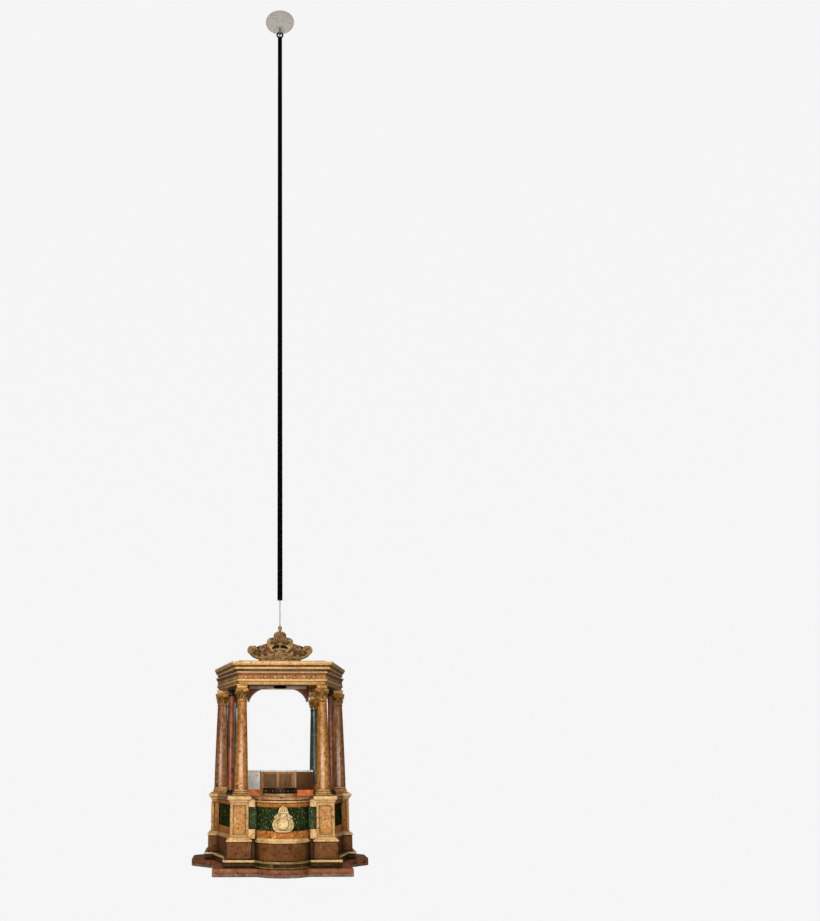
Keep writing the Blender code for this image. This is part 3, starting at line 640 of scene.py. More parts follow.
ROOF = metal(
    "painted_roof", (0.1, 0.075, 0.045), (0.25, 0.19, 0.12), (0.38, 0.31, 0.22),
    metallic=0.1, roughness=0.6, grain=40,
)
WALNUT = wood("panel_wood", (0.13, 0.052, 0.015), (0.44, 0.21, 0.07))
TEAK = wood("field_wood", (0.045, 0.02, 0.008), (0.19, 0.098, 0.044))
EBONY = wood("dark_wood", (0.028, 0.009, 0.002), (0.1, 0.034, 0.009))
RUBY = red_glass()
COTTON = paint("wick_cotton", (0.75, 0.70, 0.58), (0.35, 0.28, 0.2), 0.9)


def keep(nodes, material):
    """A CAD node whose shape is right stays and takes a finished material."""
    for name in nodes:
        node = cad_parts[name]
        node.data.materials.clear()
        node.data.materials.append(material)
        smooth(node.data)


def banded(piece, bands):
    """Stones of a course from its middle outwards: (half width, stone); on the bow some stand for painted
    highlight and shade. The last also takes the back.
    """
    for _, stone in bands[1:]:
        piece.data.materials.append(stone)
    limits = [half_width * MM for half_width, _ in bands[:-1]]
    for face in piece.data.polygons:
        reach = abs(face.center.x) if face.center.y < 0 else math.inf
        face.material_index = sum(reach > limit for limit in limits)


# Steps


def outline_of(node):
    """The plan outline of a slab's upper face, counterclockwise, in millimetres."""
    bm = bmesh.new()
    bm.from_mesh(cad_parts[node].data)
    bmesh.ops.remove_doubles(bm, verts=bm.verts, dist=1e-6)
    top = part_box(node)[1].z
    links = {}
    for edge in bm.edges:
        on_top = all(abs(v.co.z - top) < 1e-5 for v in edge.verts)
        if on_top and any(abs(f.normal.z) < 0.5 for f in edge.link_faces):
            a, b = edge.verts
            links.setdefault(a, []).append(b)
            links.setdefault(b, []).append(a)
    first = next(iter(links))
    walk, before, here = [first], first, links[first][0]
    while here is not first:
        walk.append(here)
        after = [v for v in links[here] if v is not before][0]
        before, here = here, after
    points = [((v.co.x - PLAN.x) / MM, (v.co.y - PLAN.y) / MM) for v in walk]
    bm.free()
    points = [p for p, q in zip(points, points[1:] + points[:1]) if math.dist(p, q) > 0.05]
    area = sum(a[0] * b[1] - b[0] * a[1] for a, b in zip(points, points[1:] + points[:1]))
    return points if area > 0 else points[::-1]


def build_steps():
    outline = outline_of("bottom_step")
    split = STEP_TOP * 0.42
    levels = [(-1.4, 0), (-0.2, 1.0), (0, 1.6), (0, split - 0.5), (-0.5, split)]
    finish_piece("bottom_step_edge", stacked(outline, levels), STEP_GREY)
    levels = [(-0.5, split), (0, split + 0.6), (0, STEP_TOP - 1.6), (-0.4, STEP_TOP - 0.5), (-1.4, STEP_TOP)]
    bm = stacked(outline, levels)
    finish_piece("bottom_step_slab", bm, STEP_RED, node="bottom_step")

    outline = outline_of("second_step")
    low, top = SECOND_STEP
    riser = [(-2.2, low), (-2.2, top - 5), (-1.6, top - 4.2)]
    bm = stacked(outline, riser)
    finish_piece("second_step_riser", bm, OLIVE, node="second_step")
    foot = raised(low, [(-2.4, 0), (-1.1, 0.3), (-0.5, 1.2), (-1.0, 2.3), (-2.4, 2.8)])
    piece = finish_piece("second_step_foot", stacked(outline, foot), OLIVE_GOLD)
    edge = plan("pedestal_front_right")[0] - 27
    banded(piece, ((edge, OLIVE_GOLD), (None, OLIVE)))
    nosing = raised(top, [(-1.6, -4.2), (-0.3, -3.6), (0, -2.8), (0, -1), (-0.4, -0.3), (-1.2, 0)])
    piece = finish_piece("second_step_nosing", stacked(outline, nosing), OLIVE_GOLD)
    banded(piece, ((edge, OLIVE_GOLD), (None, PALE)))


# Parapet


def build_pedestal(name, spot, extra_y, stone, panel_stone):
    low, top = SECOND_STEP[1] + GAP, COPING_TOP
    plinth = [(19.9, low), (20.5, low + 0.6), (20.5, PLINTH_TOP - 0.6), (19.9, PLINTH_TOP)]
    finish_piece(f"{name}_plinth", squared(plinth, spot, extra_y), BROWN, node=name)
    base = raised(PLINTH_TOP, [
        (20.0, 0), (21.4, 0.4), (22.0, 1.2), (22.0, 2.6), (21.4, 3.4), (20.2, 3.7), (19.9, 4.4), (18.6, 5.2),
        (17.2, 6.2), (16.7, 7.2),
    ])
    finish_piece(f"{name}_base", squared(base, spot, extra_y), PALE)
    die_low, die_top = PLINTH_TOP + 7.2, top - 10.4
    build_die(name, spot, extra_y, (die_low, die_top), stone, panel_stone)
    cap = raised(die_top, [
        (16.2, 0), (16.9, 0.5), (16.9, 1.4), (17.3, 2.4), (18.4, 3.8), (19.6, 4.6), (19.8, 5.4), (20.5, 5.8),
        (20.5, 9.7), (19.9, 10.4),
    ])
    finish_piece(f"{name}_cap", squared(cap, spot, extra_y), PALE)


def build_die(name, spot, extra_y, ends, stone, panel_stone):
    """A pedestal's shaft, with a sunk panel of another stone in each of its four faces."""
    x, y = spot
    low, high = ends
    half_x, half_y = DIE_HALF, DIE_HALF + extra_y
    bm = block(bmesh.new(), (x - half_x, y - half_y, low), (x + half_x, y + half_y, high), 0.6)
    faces = [f for f in bm.faces if abs(f.normal.z) < 0.1 and f.calc_area() > 200]
    for thickness, depth in ((5.0, 0), (0.7, 0.7), (0.9, -1.9)):
        bmesh.ops.inset_individual(bm, faces=faces, thickness=thickness, depth=depth)
    finish_piece(f"{name}_die", bm, stone)
    rim, back, front = 7.0, 1.4, 0.8
    panel_x, panel_y = half_x - rim, half_y - rim
    bm = bmesh.new()
    for sign in (-1, 1):
        inner, outer = x + sign * (half_x - back), x + sign * (half_x - front)
        block(bm, (inner, y - panel_y, low + rim), (outer, y + panel_y, high - rim), 0.25)
        inner, outer = y + sign * (half_y - back), y + sign * (half_y - front)
        block(bm, (x - panel_x, inner, low + rim), (x + panel_x, outer, high - rim), 0.25)
    finish_piece(f"{name}_panels", bm, panel_stone)


def wall_courses():
    """The parapet's courses: name, material, and the outer half of its section."""
    low, top = SECOND_STEP[1] + GAP, COPING_TOP
    return (
        ("plinth", BROWN, [(8.5, low), (9, low + 0.5), (9, PLINTH_TOP - 0.6), (8.4, PLINTH_TOP)]),
        ("base", AMBER, raised(PLINTH_TOP, [
            (8.6, 0), (10, 0.5), (10.5, 1.3), (10.5, 2.6), (9.8, 3.4), (8.8, 3.7), (8.4, 4.4), (7.5, 5.8),
            (7.0, 6.8), (6.9, RAIL_BOTTOM - PLINTH_TOP),
        ])),
        ("lower_rail", ORANGE, raised(PANEL_BOTTOM, [
            (6.9, RAIL_BOTTOM - PANEL_BOTTOM), (7.3, RAIL_BOTTOM - PANEL_BOTTOM + 0.6), (7.3, -2.2),
            (6.9, -1.6), (6.9, -0.8), (6.3, 0),
        ])),
        ("panel", GREEN, [(6, PANEL_BOTTOM), (6, PANEL_TOP)]),
        ("upper_rail", ORANGE, raised(PANEL_TOP, [
            (6.3, 0), (6.9, 0.8), (6.9, 1.6), (7.3, 2.2), (7.3, RAIL_TOP - PANEL_TOP - 0.6),
            (6.9, RAIL_TOP - PANEL_TOP),
        ])),
        ("string", AMBER, raised(RAIL_TOP, [
            (6.9, 0), (9.0, 0.3), (9.9, 0.9), (10.1, 1.8), (9.7, 2.6), (8.6, 3.1), (7.8, 3.2),
        ])),
        ("coping", ROSY, raised(RAIL_TOP, [
            (7.8, 3.2), (8.2, 3.8), (9, 4.6), (9.6, 5), (9.6, top - RAIL_TOP - 1.2),
            (9.3, top - RAIL_TOP - 0.4), (8.6, top - RAIL_TOP),
        ])),
    )


def build_walls():
    """The slanting walls stop inside their pedestals, where their ends can't be seen."""
    for name in CORNERS:
        start = plan(f"pedestal_{name}")
        side = name.split("_")[1]
        end = (plan(f"pedestal_side_{side}")[0], plan(f"column_side_{name}")[1])
        for course, material, half in wall_courses():
            node = f"wall_{name}" if course == "panel" else None
            bm = sweep([start, end], both_sides(half))
            finish_piece(f"wall_{name}_{course}", bm, material, node=node)


def build_bow():
    """The front wall, bowed out between the front pedestals, and the blocks at its ends."""
    arc = [polar(BOW_RADIUS, angle, (0, BOW_CENTRE)) for angle in linear(math.pi, TURN, 40)]
    reach = plan("pedestal_front_right")[0] - 9
    path = [(-reach, BOW_CENTRE), *arc, (reach, BOW_CENTRE)]
    corner = BOW_RADIUS + 12
    # Painted highlight and shade: the ivory middles of the base and string stand for the highlight at the
    # bow's front, and the olive band at the ends of the plinth's curve for the shade on its turned-away
    # sides.
    bands = {
        "plinth": ((BOW_RADIUS - 1, BROWN), (corner, OLIVE), (None, BROWN)),
        "base": ((23, IVORY), (corner, AMBER), (None, BROWN)),
        "panel": ((corner, GREEN), (None, SEA_GREEN)),
        "string": ((21, IVORY), (corner, AMBER), (None, OLIVE)),
        "coping": ((corner, ROSY), (None, OLIVE)),
    }
    for course, material, half in wall_courses():
        node = "front_bow" if course == "panel" else None
        bm = sweep(path, both_sides(half))
        stones_and_painted_light = bands.get(course, ((None, material),))
        piece = finish_piece(f"front_bow_{course}", bm, stones_and_painted_light[0][1], node=node)
        banded(piece, stones_and_painted_light)
    inner, outer = BOW_RADIUS + 8.2, reach - 6.6
    face = BOW_CENTRE - 6
    bm = bmesh.new()
    for sign in (-1, 1):
        for low, high in ((RAIL_BOTTOM - 2.4, PANEL_BOTTOM + 0.8), (PANEL_TOP - 0.8, RAIL_TOP + 4.2)):
            block(bm, (sign * inner, face - 4.3, low), (sign * outer, face + 1, high), 0.5)
    finish_piece("front_blocks", bm, PALE)


def build_cartouche():
    """A shield with scrolled sides under a plain crown, bent round the bow."""
    low, high = heights("cartouche")
    tall = high - low
    face = BOW_CENTRE - BOW_RADIUS - 6.2
    bm = bmesh.new()
    half = [(5, 0.5), (12, 1.8), (16.6, 6), (17.6, 13), (15.6, 19), (12.6, 23), (11, 27), (9, 29.5)]
    prism(bm, both_sides(raised(low, half)), face - 2.4, face + 1.5, 0.8)
    ball(bm, (0, face - 1.4, low + 0.31 * tall), 9.6, 0.42, 24)
    rim = smooth_path([(x, 0, low + z) for x, z in ((0, 1.6), (9, 2.2), (14.6, 7), (15, 14), (12.4, 20))])
    curl = spiral((10.2, low + 23), 0, 1.1, 3.4, 0.8)
    for sign in (-1, 1):
        bead(bm, rim, face - 2.6, 1.5, sign)
        bead(bm, curl, face - 2.8, 1.4, sign)
        leaf(bm, standing(sign * 15, face - 1.6, low + 9, 0, sign * 0.3), 8, 4.4, 0.7, 3, 0.7)
        leaf(bm, standing(sign * 5, face - 2, low + 26, 0, sign * 0.25), 9, 5, 0.5, 3, 0.7)
    band = low + 0.70 * tall
    prism(bm, [(-7.6, band), (7.6, band), (8, band + 3), (-8, band + 3)], face - 3.4, face + 1, 0.6)
    for i in range(-2, 3):
        top = high - 1.6 - abs(i) * 1.5
        waist = (band + top) / 2
        rib = [(i * 3.4, face - 2.2, band + 2), (i * 3.1, face - 2.6, waist), (i * 2.3, face - 2.2, top)]
        tube(bm, smooth_path(rib, 4), 1.3, 8)
        ball(bm, (i * 2.3, face - 2.4, top), 1.5, 1, 10)
    ball(bm, (0, face - 2.2, high - 1.8), 1.7, 1, 12)
    for vert in bm.verts:
        angle = vert.co.x / (BOW_RADIUS + 6)
        reach = BOW_CENTRE - vert.co.y
        vert.co.x = reach * math.sin(angle)
        vert.co.y = BOW_CENTRE - reach * math.cos(angle)
    finish_piece("cartouche_shield", bm, IVORY, node="cartouche")


# Columns


def shaft_profile(foot, neck, low, high, steps=14):
    """A tapering shaft that swells a little on its way up."""
    return [(foot - (foot - neck) * t**1.35, low + (high - low) * t) for t in linear(0, 1, steps)]


def column_meshes():
    """Base and shaft of a column at the origin, shared by all eight."""
    foot, neck = 11.9, 8.3
    rise = SHAFT_TOP - COPING_TOP
    base = squared([(13.8, GAP), (14.3, 0.8), (14.3, 2.9), (13.9, 3.3)], (0, 0))
    torus = [(13.0, 3.3), (13.9, 3.9), (14.2, 4.8), (13.9, 5.8), (13.0, 6.3), (12.3, 6.6), (12.1, 7.3),
             (12.4, 8.0), (12.9, 8.3), (13.1, 8.9), (12.9, 9.6), (12.3, 9.9), (11.9, 10.4)]
    turn(base, torus)
    shaft = [*shaft_profile(foot, neck, 10.4, rise - 5), (neck + 0.9, rise - 4.5), (neck + 1.3, rise - 3.7),
             (neck + 0.9, rise - 2.9), (neck, rise - 2.5), (neck, rise + 0.2)]
    return base, turned(shaft)


def capital_mesh():
    """A leafy capital: a bell, two rows of leaves, corner scrolls, and a hollow-sided abacus."""
    low, high = (z - COPING_TOP for z in CAPITAL)
    abacus = high - 12
    bm = turned([(8.3, low - 0.2), (8.4, low + 3), (9.0, low + 7), (10.4, abacus - 1.4), (11.2, abacus)], 32)
    for row, (length, width, foot, radius) in enumerate(((7.5, 5.6, 0.2, 8.6), (10.5, 5.4, 1.8, 8.9))):
        for i in range(8):
            angle = TURN * (i + 0.5 * row) / 8
            matrix = standing(*polar(radius, angle), low + foot, angle + math.pi / 2)
            leaf(bm, matrix, length, width, 1.5, 3, 0.5, 8)
    curl = spiral((12.6, abacus - 1.2), math.pi * 0.75, -1.1, 2.6, 0.7, 12)
    stalk = smooth_path([(8.6, 0, low + 5), (9.4, 0, abacus - 3.4), curl[0]], 4)
    for i in range(4):
        scroll = tube(bmesh.new(), [*stalk[:-1], *curl], 0.9, 6, 1.6)
        add_to(bm, scroll, Matrix.Rotation(TURN * (i + 0.5) / 4, 4, "Z"))
    half, hollow, steps = 12.6, 2.0, 9
    outline = []
    for side in range(4):
        for i in range(steps):
            across = half * (1 - 2 * (i + 0.5) / steps)
            depth = half - hollow * math.cos(math.pi / 2 * across / half)
            outline.append(Matrix.Rotation(TURN * side / 4, 2) @ Vector((depth, -across)))
    levels = raised(abacus, [(0.94, 0), (0.98, 0.6), (0.98, 1.8), (0.93, 2.2), (1, 2.8), (1, 4.6), (0.97, 5)])
    loft(bm, [[(p.x * share, p.y * share, z) for p in outline] for share, z in levels])
    for side in range(4):
        ball(bm, (*polar(10.6, TURN * side / 4), abacus + 2.4), 2.1, 1, 10)
    impost = raised(high, [(9, -7), (9.2, -6.6), (9.2, -1.8), (10.2, -1), (10.2, 0)])
    return squared(impost, (0, 0), 0, bm)


def build_columns():
    """Eight columns that share their meshes, each turned a quarter further than the one before."""
    base, shaft = column_meshes()
    shared = {}
    for part, bm, angle in (("base", base, SHARP), ("shaft", shaft, SHARP), ("capital", capital_mesh(), 50)):
        shared[part] = mesh_of(f"column_{part}", bm)
        smooth(shared[part], angle)
    shafts = {}
    for stone in (GOLDEN, TAWNY, DARK_GREEN):
        shafts[stone] = shared["shaft"].copy()
        shafts[stone].materials.append(stone)
    for i, name in enumerate([*CORNERS, *(f"side_{name}" for name in CORNERS)]):
        origin = PLAN + Vector((*plan(f"column_{name}"), COPING_TOP)) * MM
        stone = DARK_GREEN if "rear" in name else TAWNY if "side" in name else GOLDEN
        shaft_slot = "dark_green_marble" if "rear" in name else "golden_marble"
        for part, mesh, material, node, slot in (
            ("shaft", shafts[stone], stone, f"column_{name}", shaft_slot),
            ("base", shared["base"], CREAM, None, "cream_marble"),
            ("leaves", shared["capital"], GILT, f"capital_{name}", "gilt_metal"),
        ):
            piece = place_mesh(f"{part}_{name}", mesh, material, "temple", node, origin)
            piece.rotation_euler.z = TURN * (i % 4) / 4


def build_colonnettes():
    low, top = COPING_TOP, ARCHITRAVE[0] - GAP
    foot = raised(low, [(6.6, 3), (7.2, 3.6), (7.2, 4.6), (6.4, 5.2), (5.9, 6), (6.4, 6.8), (5.6, 7.6)])
    neck = raised(top, [(5.2, -15.6), (5.6, -15), (5.2, -14.4), (4.7, -14), (4.7, -12), (5.4, -8), (6.8, -5)])
    for name in CORNERS:
        node = f"colonnette_{name}"
        spot = plan(node)
        bm = squared(raised(low, [(7.2, GAP), (7.5, 0.7), (7.5, 2.6), (7.2, 3)]), spot)
        turn(bm, foot, 32, spot)
        turn(bm, neck, 32, spot)
        squared(raised(top, [(6.8, -5), (7.4, -4.4), (7.4, -0.4), (7, 0)]), spot, 0, bm)
        finish_piece(f"{node}_ends", bm, BRONZE)
        bm = turned(shaft_profile(5.5, 4.6, low + 7.6, top - 15.6), 32, spot)
        stone, slot = (DARK_GREEN, "dark_green_marble") if "rear" in name else (RED, "red_marble")
        finish_piece(f"{node}_shaft", bm, stone, node=node)


# Entablature and roof


def ring_plan(side=None):
    """The line of the columns, from the front left. side is how far out it runs at the side pairs."""
    across = side or plan("pedestal_side_right")[0]
    pair = [(across, plan(f"column_side_{place}_right")[1]) for place in ("front", "rear")]
    right = [plan("column_front_right"), *pair, plan("column_rear_right")]
    left = [(-x, y) for x, y in reversed(right)]
    return [left[-1], *right, *left[:-1]]


def open_ring_plan(end):
    """The same line from one end of the rear opening round to the other."""
    around = ring_plan()
    back = around[4][1]
    return [(-end, back), *around[5:], *around[:5], (end, back)]


def build_entablature():
    """Architrave and frieze, which stop at the rear arch."""
    path = open_ring_plan(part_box("rear_arch")[1].x / MM + GAP)
    low, top = ARCHITRAVE
    split = top - 4.2
    frieze_low, frieze_top = FRIEZE
    fillet = frieze_top - 6.2
    courses = (
        ("architrave_course", CREAM, "architrave", "cream_marble", [
            (-8, low), (6.9, low), (7.2, low + 0.4), (7.2, low + 2.4), (7.7, low + 2.6), (7.7, split),
            (-8, split),
        ]),
        ("architrave_cyma", PALE, None, "cream_marble", [
            (-8, split), (7.9, split), (8.6, split + 0.6), (9.6, split + 1), (10.5, split + 1.5), (10.5, top),
            (-8, top),
        ]),
        ("frieze_course", ORANGE, "frieze", "red_marble", [
            (-9, frieze_low), (9, frieze_low), (9, fillet), (-9, fillet),
        ]),
        ("frieze_fillet", RED, None, "red_marble", raised(fillet, [
            (-9, 0), (9.6, 0), (9.9, 0.5), (9.9, 2.8), (9.4, 3.2), (-9, 3.2),
        ])),
        ("frieze_bead", PALE, None, "cream_marble", raised(frieze_top, [
            (-9, -3), (10, -3), (11.4, -2.6), (12.2, -2.2), (12.5, -1.4), (12.5, -0.6), (12.1, 0), (-9, 0),
        ])),
    )
    for name, material, node, slot, profile in courses:
        finish_piece(name, sweep(path, profile), material, node=node)
    build_frieze_ornament(path, frieze_low + 0.4, fillet - 0.4)


def build_arch():
    """A rail and curved brackets, which fill out the arch of the rear bay."""
    keep(["rear_arch"], MAROON)
    faces = depths("rear_arch")
    springing, crown = heights("rear_arch")
    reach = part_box("rear_arch")[1].x / MM - 5
    bm = bmesh.new()
    for face, out in zip(faces, (-1, 1)):
        outer, inner = face + 1.2 * out, face - 0.4 * out
        block(bm, (-reach, outer, crown - 7), (reach, inner, crown - 0.2), 0.4)
    finish_piece("rear_arch_rail", bm, SOFFIT)
    below = crown - 6.5
    curve = smooth_path([(33, 0, below), (44, 0, crown - 11.5), (54, 0, crown - 20), (62.5, 0, springing)])
    outline = [(p.x, p.z) for p in curve] + [(reach, springing), (reach, below)]
    bm = bmesh.new()
    for sign in (-1, 1):
        prism(bm, [(sign * x, z) for x, z in outline], faces[0] + 0.6, faces[1] - 0.6, 0.3)
    finish_piece("rear_arch_brackets", bm, MAROON)


def along(path, spacing, margin, offset):
    """Points and directions at even steps on each stretch of a plan path, moved out by offset."""
    for a, b in zip(path, path[1:]):
        a, b = Vector(a), Vector(b)
        way = (b - a).normalized()
        out = Vector((way.y, -way.x))
        room = (b - a).length - 2 * margin
        count = max(1, int(room / spacing))
        for i in range(count + 1):
            yield a + way * (margin + room * i / count) + out * offset, math.atan2(way.y, way.x), i


def build_frieze_ornament(path, low, high):
    """Plain leaves and buds in turn, which run round the frieze."""
    bm = bmesh.new()
    mid = (low + high) / 2
    for spot, angle, i in along(path, 8.6, 7, 9.0):
        matrix = standing(spot.x, spot.y, mid, angle)
        if i % 2:
            for roll in (-math.pi / 2, math.pi / 2):
                leaf(bm, matrix @ standing(0, 0, 0, 0, roll), 5.6, 4.0, 0.3, 2, 0.4, 6)
        else:
            add_to(bm, ball(bmesh.new(), (0, 0, 0), 2.3, 0.5, 10), matrix)
    finish_piece("frieze_ornament", bm, PALE, angle=50)


def build_cornice():
    low, top = CORNICE
    path = ring_plan(CORNICE_SIDE)
    reach = CORNICE_REACH
    bands = (
        ("recess", BROWN, None, [(-2, 0), (11.6, 0), (11.6, 3.6), (-2, 3.6)]),
        ("corona", PALE, "cornice", [(-2, 3.6), (16.4, 3.6), (17, 4), (17, 6.6), (16.6, 7), (-2, 7)]),
        ("cavetto", ORANGE, None, [(-2, 7), (15.6, 7), (15.8, 8.4), (16.8, 9.8), (18.8, 10.6), (-2, 10.6)]),
        ("cymatium", PALE, None, [
            (-2, 10.6), (20.2, 10.6), (20.8, 11), (20.8, 12.2), (21.4, 12.8), (reach, 13.4),
            (reach, top - low - 0.3), (reach - 0.3, top - low), (-2, top - low),
        ]),
    )
    for name, material, node, profile in bands:
        finish_piece(f"cornice_{name}", sweep(path, raised(low, profile), closed=True), material, node=node)
    bm = bmesh.new()
    for spot, angle, _ in along([*path, path[0]], 4.6, 12, 13.4):
        dentil = block(bmesh.new(), (-1.15, -1.6, low + 0.6), (1.15, 1.6, low + 3.55), 0.2)
        add_to(bm, dentil, standing(spot.x, spot.y, 0, angle))
    finish_piece("cornice_dentils", bm, TAWNY)


def build_roof():
    """Rolls on the hips and seams of the roof, over its CAD body."""
    keep(["roof"], ROOF)
    low, top = heights("roof")
    foot = low + 1
    eaves = [Vector(spot) for spot in outline_at(ring_plan(CORNICE_SIDE), 8)]
    flat = [0.45 * Vector(spot) for spot in ring_plan()]
    bm = bmesh.new()
    for i in range(len(eaves)):
        j = (i + 1) % len(eaves)
        for t in (0, 1 / 3, 2 / 3):
            a, b = eaves[i].lerp(eaves[j], t), flat[i].lerp(flat[j], t)
            points = [(*a, foot), (*(a + b) / 2, (foot + 0.2 + top) / 2), (*b, top)]
            tube(bm, points, 0.9 if t else 1.3, 8)
    for a, b in zip(flat, flat[1:] + flat[:1]):
        tube(bm, [(*a, top), (*b, top)], 1.3, 8)
    finish_piece("roof_rolls", bm, ROOF)


# Crest


def build_crest():
    """Acanthus scrolls either side of a stepped palmette, over a thin plate."""
    axis = Vector((0, 0, UNDERSIDE))
    base, crown = heights("crest_palmette")
    shoulder = base + 29.6
    keep(["crest_plinth", "finial_stem"], CARVED)
    half = raised(base, [(44, 0.2), (56, 7), (61.5, 15), (60, 25), (46, 25), (38, 28), (24, 31.6)])
    web = prism(bmesh.new(), both_sides(half), -0.8, 0.8, 0.3)
    finish_piece("crest_web", web, BRONZE, origin=axis)
    build_palmette(axis, base, shoulder, crown)
    for side, sign in (("left", -1), ("right", 1)):
        build_wing(f"crest_wing_{side}", f"crest_scroll_{side}", sign, axis, base)


def build_palmette(axis, base, shoulder, crown):
    """A stepped plate, pierced by an arch and two eyes, with a fan of leaves on both faces."""
    half = raised(shoulder, [(25.6, -2), (26.2, 7), (22, 12), (13, 14), (11.5, 22)])
    half = [(25.4, base + 0.2), (25.8, base + 8), *half, (5, crown - 1)]
    bm = prism(bmesh.new(), both_sides(half), -3.4, 3.4, 0.8)
    plate = finish_piece("crest_palmette_plate", bm, CARVED, origin=axis, angle=40)
    arch = [(17 * math.cos(a), shoulder - 10 + 9.5 * math.sin(a)) for a in linear(0.1, math.pi - 0.1, 12)]
    arch += [(12 * math.cos(a), shoulder - 9.6 + 2.0 * math.sin(a)) for a in linear(math.pi - 0.1, 0.1, 12)]
    holes = prism(bmesh.new(), arch, -9, 9)
    for sign in (-1, 1):
        angles = linear(0, TURN, 12)[:-1]
        eye = [(sign * 9 + 3.6 * math.cos(a), shoulder - 13.8 + 2.2 * math.sin(a)) for a in angles]
        prism(holes, eye, -9, 9)
    cut(plate, holes, axis)

    curl = spiral((13.5, base + 8.5), math.pi / 2, 1.4, 7.2, 1.4)
    bm = bmesh.new()
    for face, turn_z in ((-1, 0), (1, math.pi)):
        for i, reach in enumerate((25, 21, 17, 13)):
            for sign in (-1, 1) if i else (1,):
                roll = -0.42 * sign * face * i
                matrix = standing(sign * 2.6 * i, face * 3.0, shoulder + 2.6 - 0.7 * i, turn_z, roll)
                leaf(bm, matrix, reach, 8.6, 0.35, 4, 1.0)
        for sign in (-1, 1):
            bead(bm, curl, face * 3.6, 2.0, sign)
            leaf(bm, standing(sign * 17, face * 3, base + 13, turn_z, -0.7 * sign * face), 14, 8, 0.6, 4, 1.0)
        ball(bm, (0, face * 2.6, shoulder - 14.5), 4.2, 0.8, 16)
        ball(bm, (0, face * 3.4, base + 6), 4.2, 0.8, 16)
    finish_piece("crest_palmette_leaves", bm, CARVED, node="crest_palmette", origin=axis,
                 angle=50)


def build_wing(name, node, sign, axis, base):
    """One side of the crest: a long scroll, a smaller one over it, and leaves between them."""
    half = raised(base, [
        (21.8, 0.2), (44, 0.4), (55, 6), (62, 15), (61, 26), (49, 27), (43, 21), (37, 28), (26.4, 28),
        (26.4, 8),
    ])
    bm = prism(bmesh.new(), [(sign * x, z) for x, z in half], -3.2, 3.2, 0.8)
    stalk = smooth_path([(24, 0, base + 4), (38, 0, base + 2.5), (52, 0, base + 7), (60.5, 0, base + 15)])
    stem = [*stalk[:-1], *spiral((55, base + 18.5), -0.5, 1.5, 7.4, 1.2)]
    taper = [3.4 - 1.6 * i / len(stem) for i in range(len(stem))]
    curl = spiral((35, base + 21), math.pi * 0.9, -1.2, 6.0, 1.2)
    for face, turn_z in ((-1, 0), (1, math.pi)):
        bead(bm, stem, face * 3.4, taper, sign)
        bead(bm, curl, face * 3.4, 1.9, sign)
        for x, z, lean, reach in (
            (28, 8, 0.9, 15), (38, 7, 0.95, 16), (47, 10, 0.7, 14), (30, 12, 0.1, 14), (41, 11, 0.15, 12)
        ):
            matrix = standing(sign * x, face * 3.0, base + z, turn_z, -lean * sign * face)
            leaf(bm, matrix, reach, 8, 0.7, 4, 1.0)
        ball(bm, (sign * 55, face * 3.4, base + 18.5), 2.6, 0.9, 12)
    finish_piece(name, bm, CARVED, node=node, origin=axis, angle=50)


# Rear screen


def build_rear():
    """Panels on both faces of the screen and its gate, which keep their CAD bodies with the hinges."""
    keep(["rear_screen", "rear_gate"], WALNUT)
    keep(["gate_pin", "gate_knob", "gate_latch"], BRASS)
    bottom, top = heights("rear_gate")
    gate_front = depths("rear_gate")[0]
    left, right = (corner.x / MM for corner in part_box("rear_gate"))
    gate_half = (right - left) / 2
    rails = (bottom + 1, bottom + 58, bottom + 96, top - 6)
    span = (left + 2, right - 1)
    panelling("gate_inner", span, gate_front, -1, 2, rails, "gate")
    panelling("gate_outer", span, gate_front + 6, 1, 2, rails, "gate")
    cap = block(bmesh.new(), (span[0], gate_front - 1, top - 2.6), (span[1], gate_front + 7, top + 0.5), 0.5)
    finish_piece("gate_cap", cap, GREY, body="gate")

    latch = [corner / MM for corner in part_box("gate_latch")]
    latch_reach = (latch[0].x + latch[1].x + latch[1].z - latch[0].z) / 2 + 1.5
    inner = gate_half + 1.8
    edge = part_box("rear_screen")[1].x / MM - 0.4
    front = depths("rear_screen")[0]
    for side, sign, stone in (("left", -1, GREY), ("right", 1, EBONY)):
        for course, material, ys, zs, bevel, slot in (
            ("dado", DADO, (-0.9, 0), (SECOND_STEP[1] + 1.5, COPING_TOP + 0.8), 0.3, "red_marble"),
            ("field", stone, (-0.9, 0), (COPING_TOP + 1.5, SCREEN_TOP - 3.2), 0.3, "panel_wood"),
            ("rail", GREY, (-1.2, 8.4), (SCREEN_TOP - 2.8, SCREEN_TOP + 0.6), 0.6, "panel_wood"),
        ):
            corner, opposite = ((sign * x, front + y, z) for x, y, z in zip((inner, edge), ys, zs))
            bm = block(bmesh.new(), corner, opposite, bevel)
            finish_piece(f"screen_{side}_{course}", bm, material)
        span = sorted((sign * latch_reach, sign * edge))
        panelling(f"screen_{side}_outer", span, front + 8, 1, 1, (bottom - 3, *rails[1:3], SCREEN_TOP - 8))


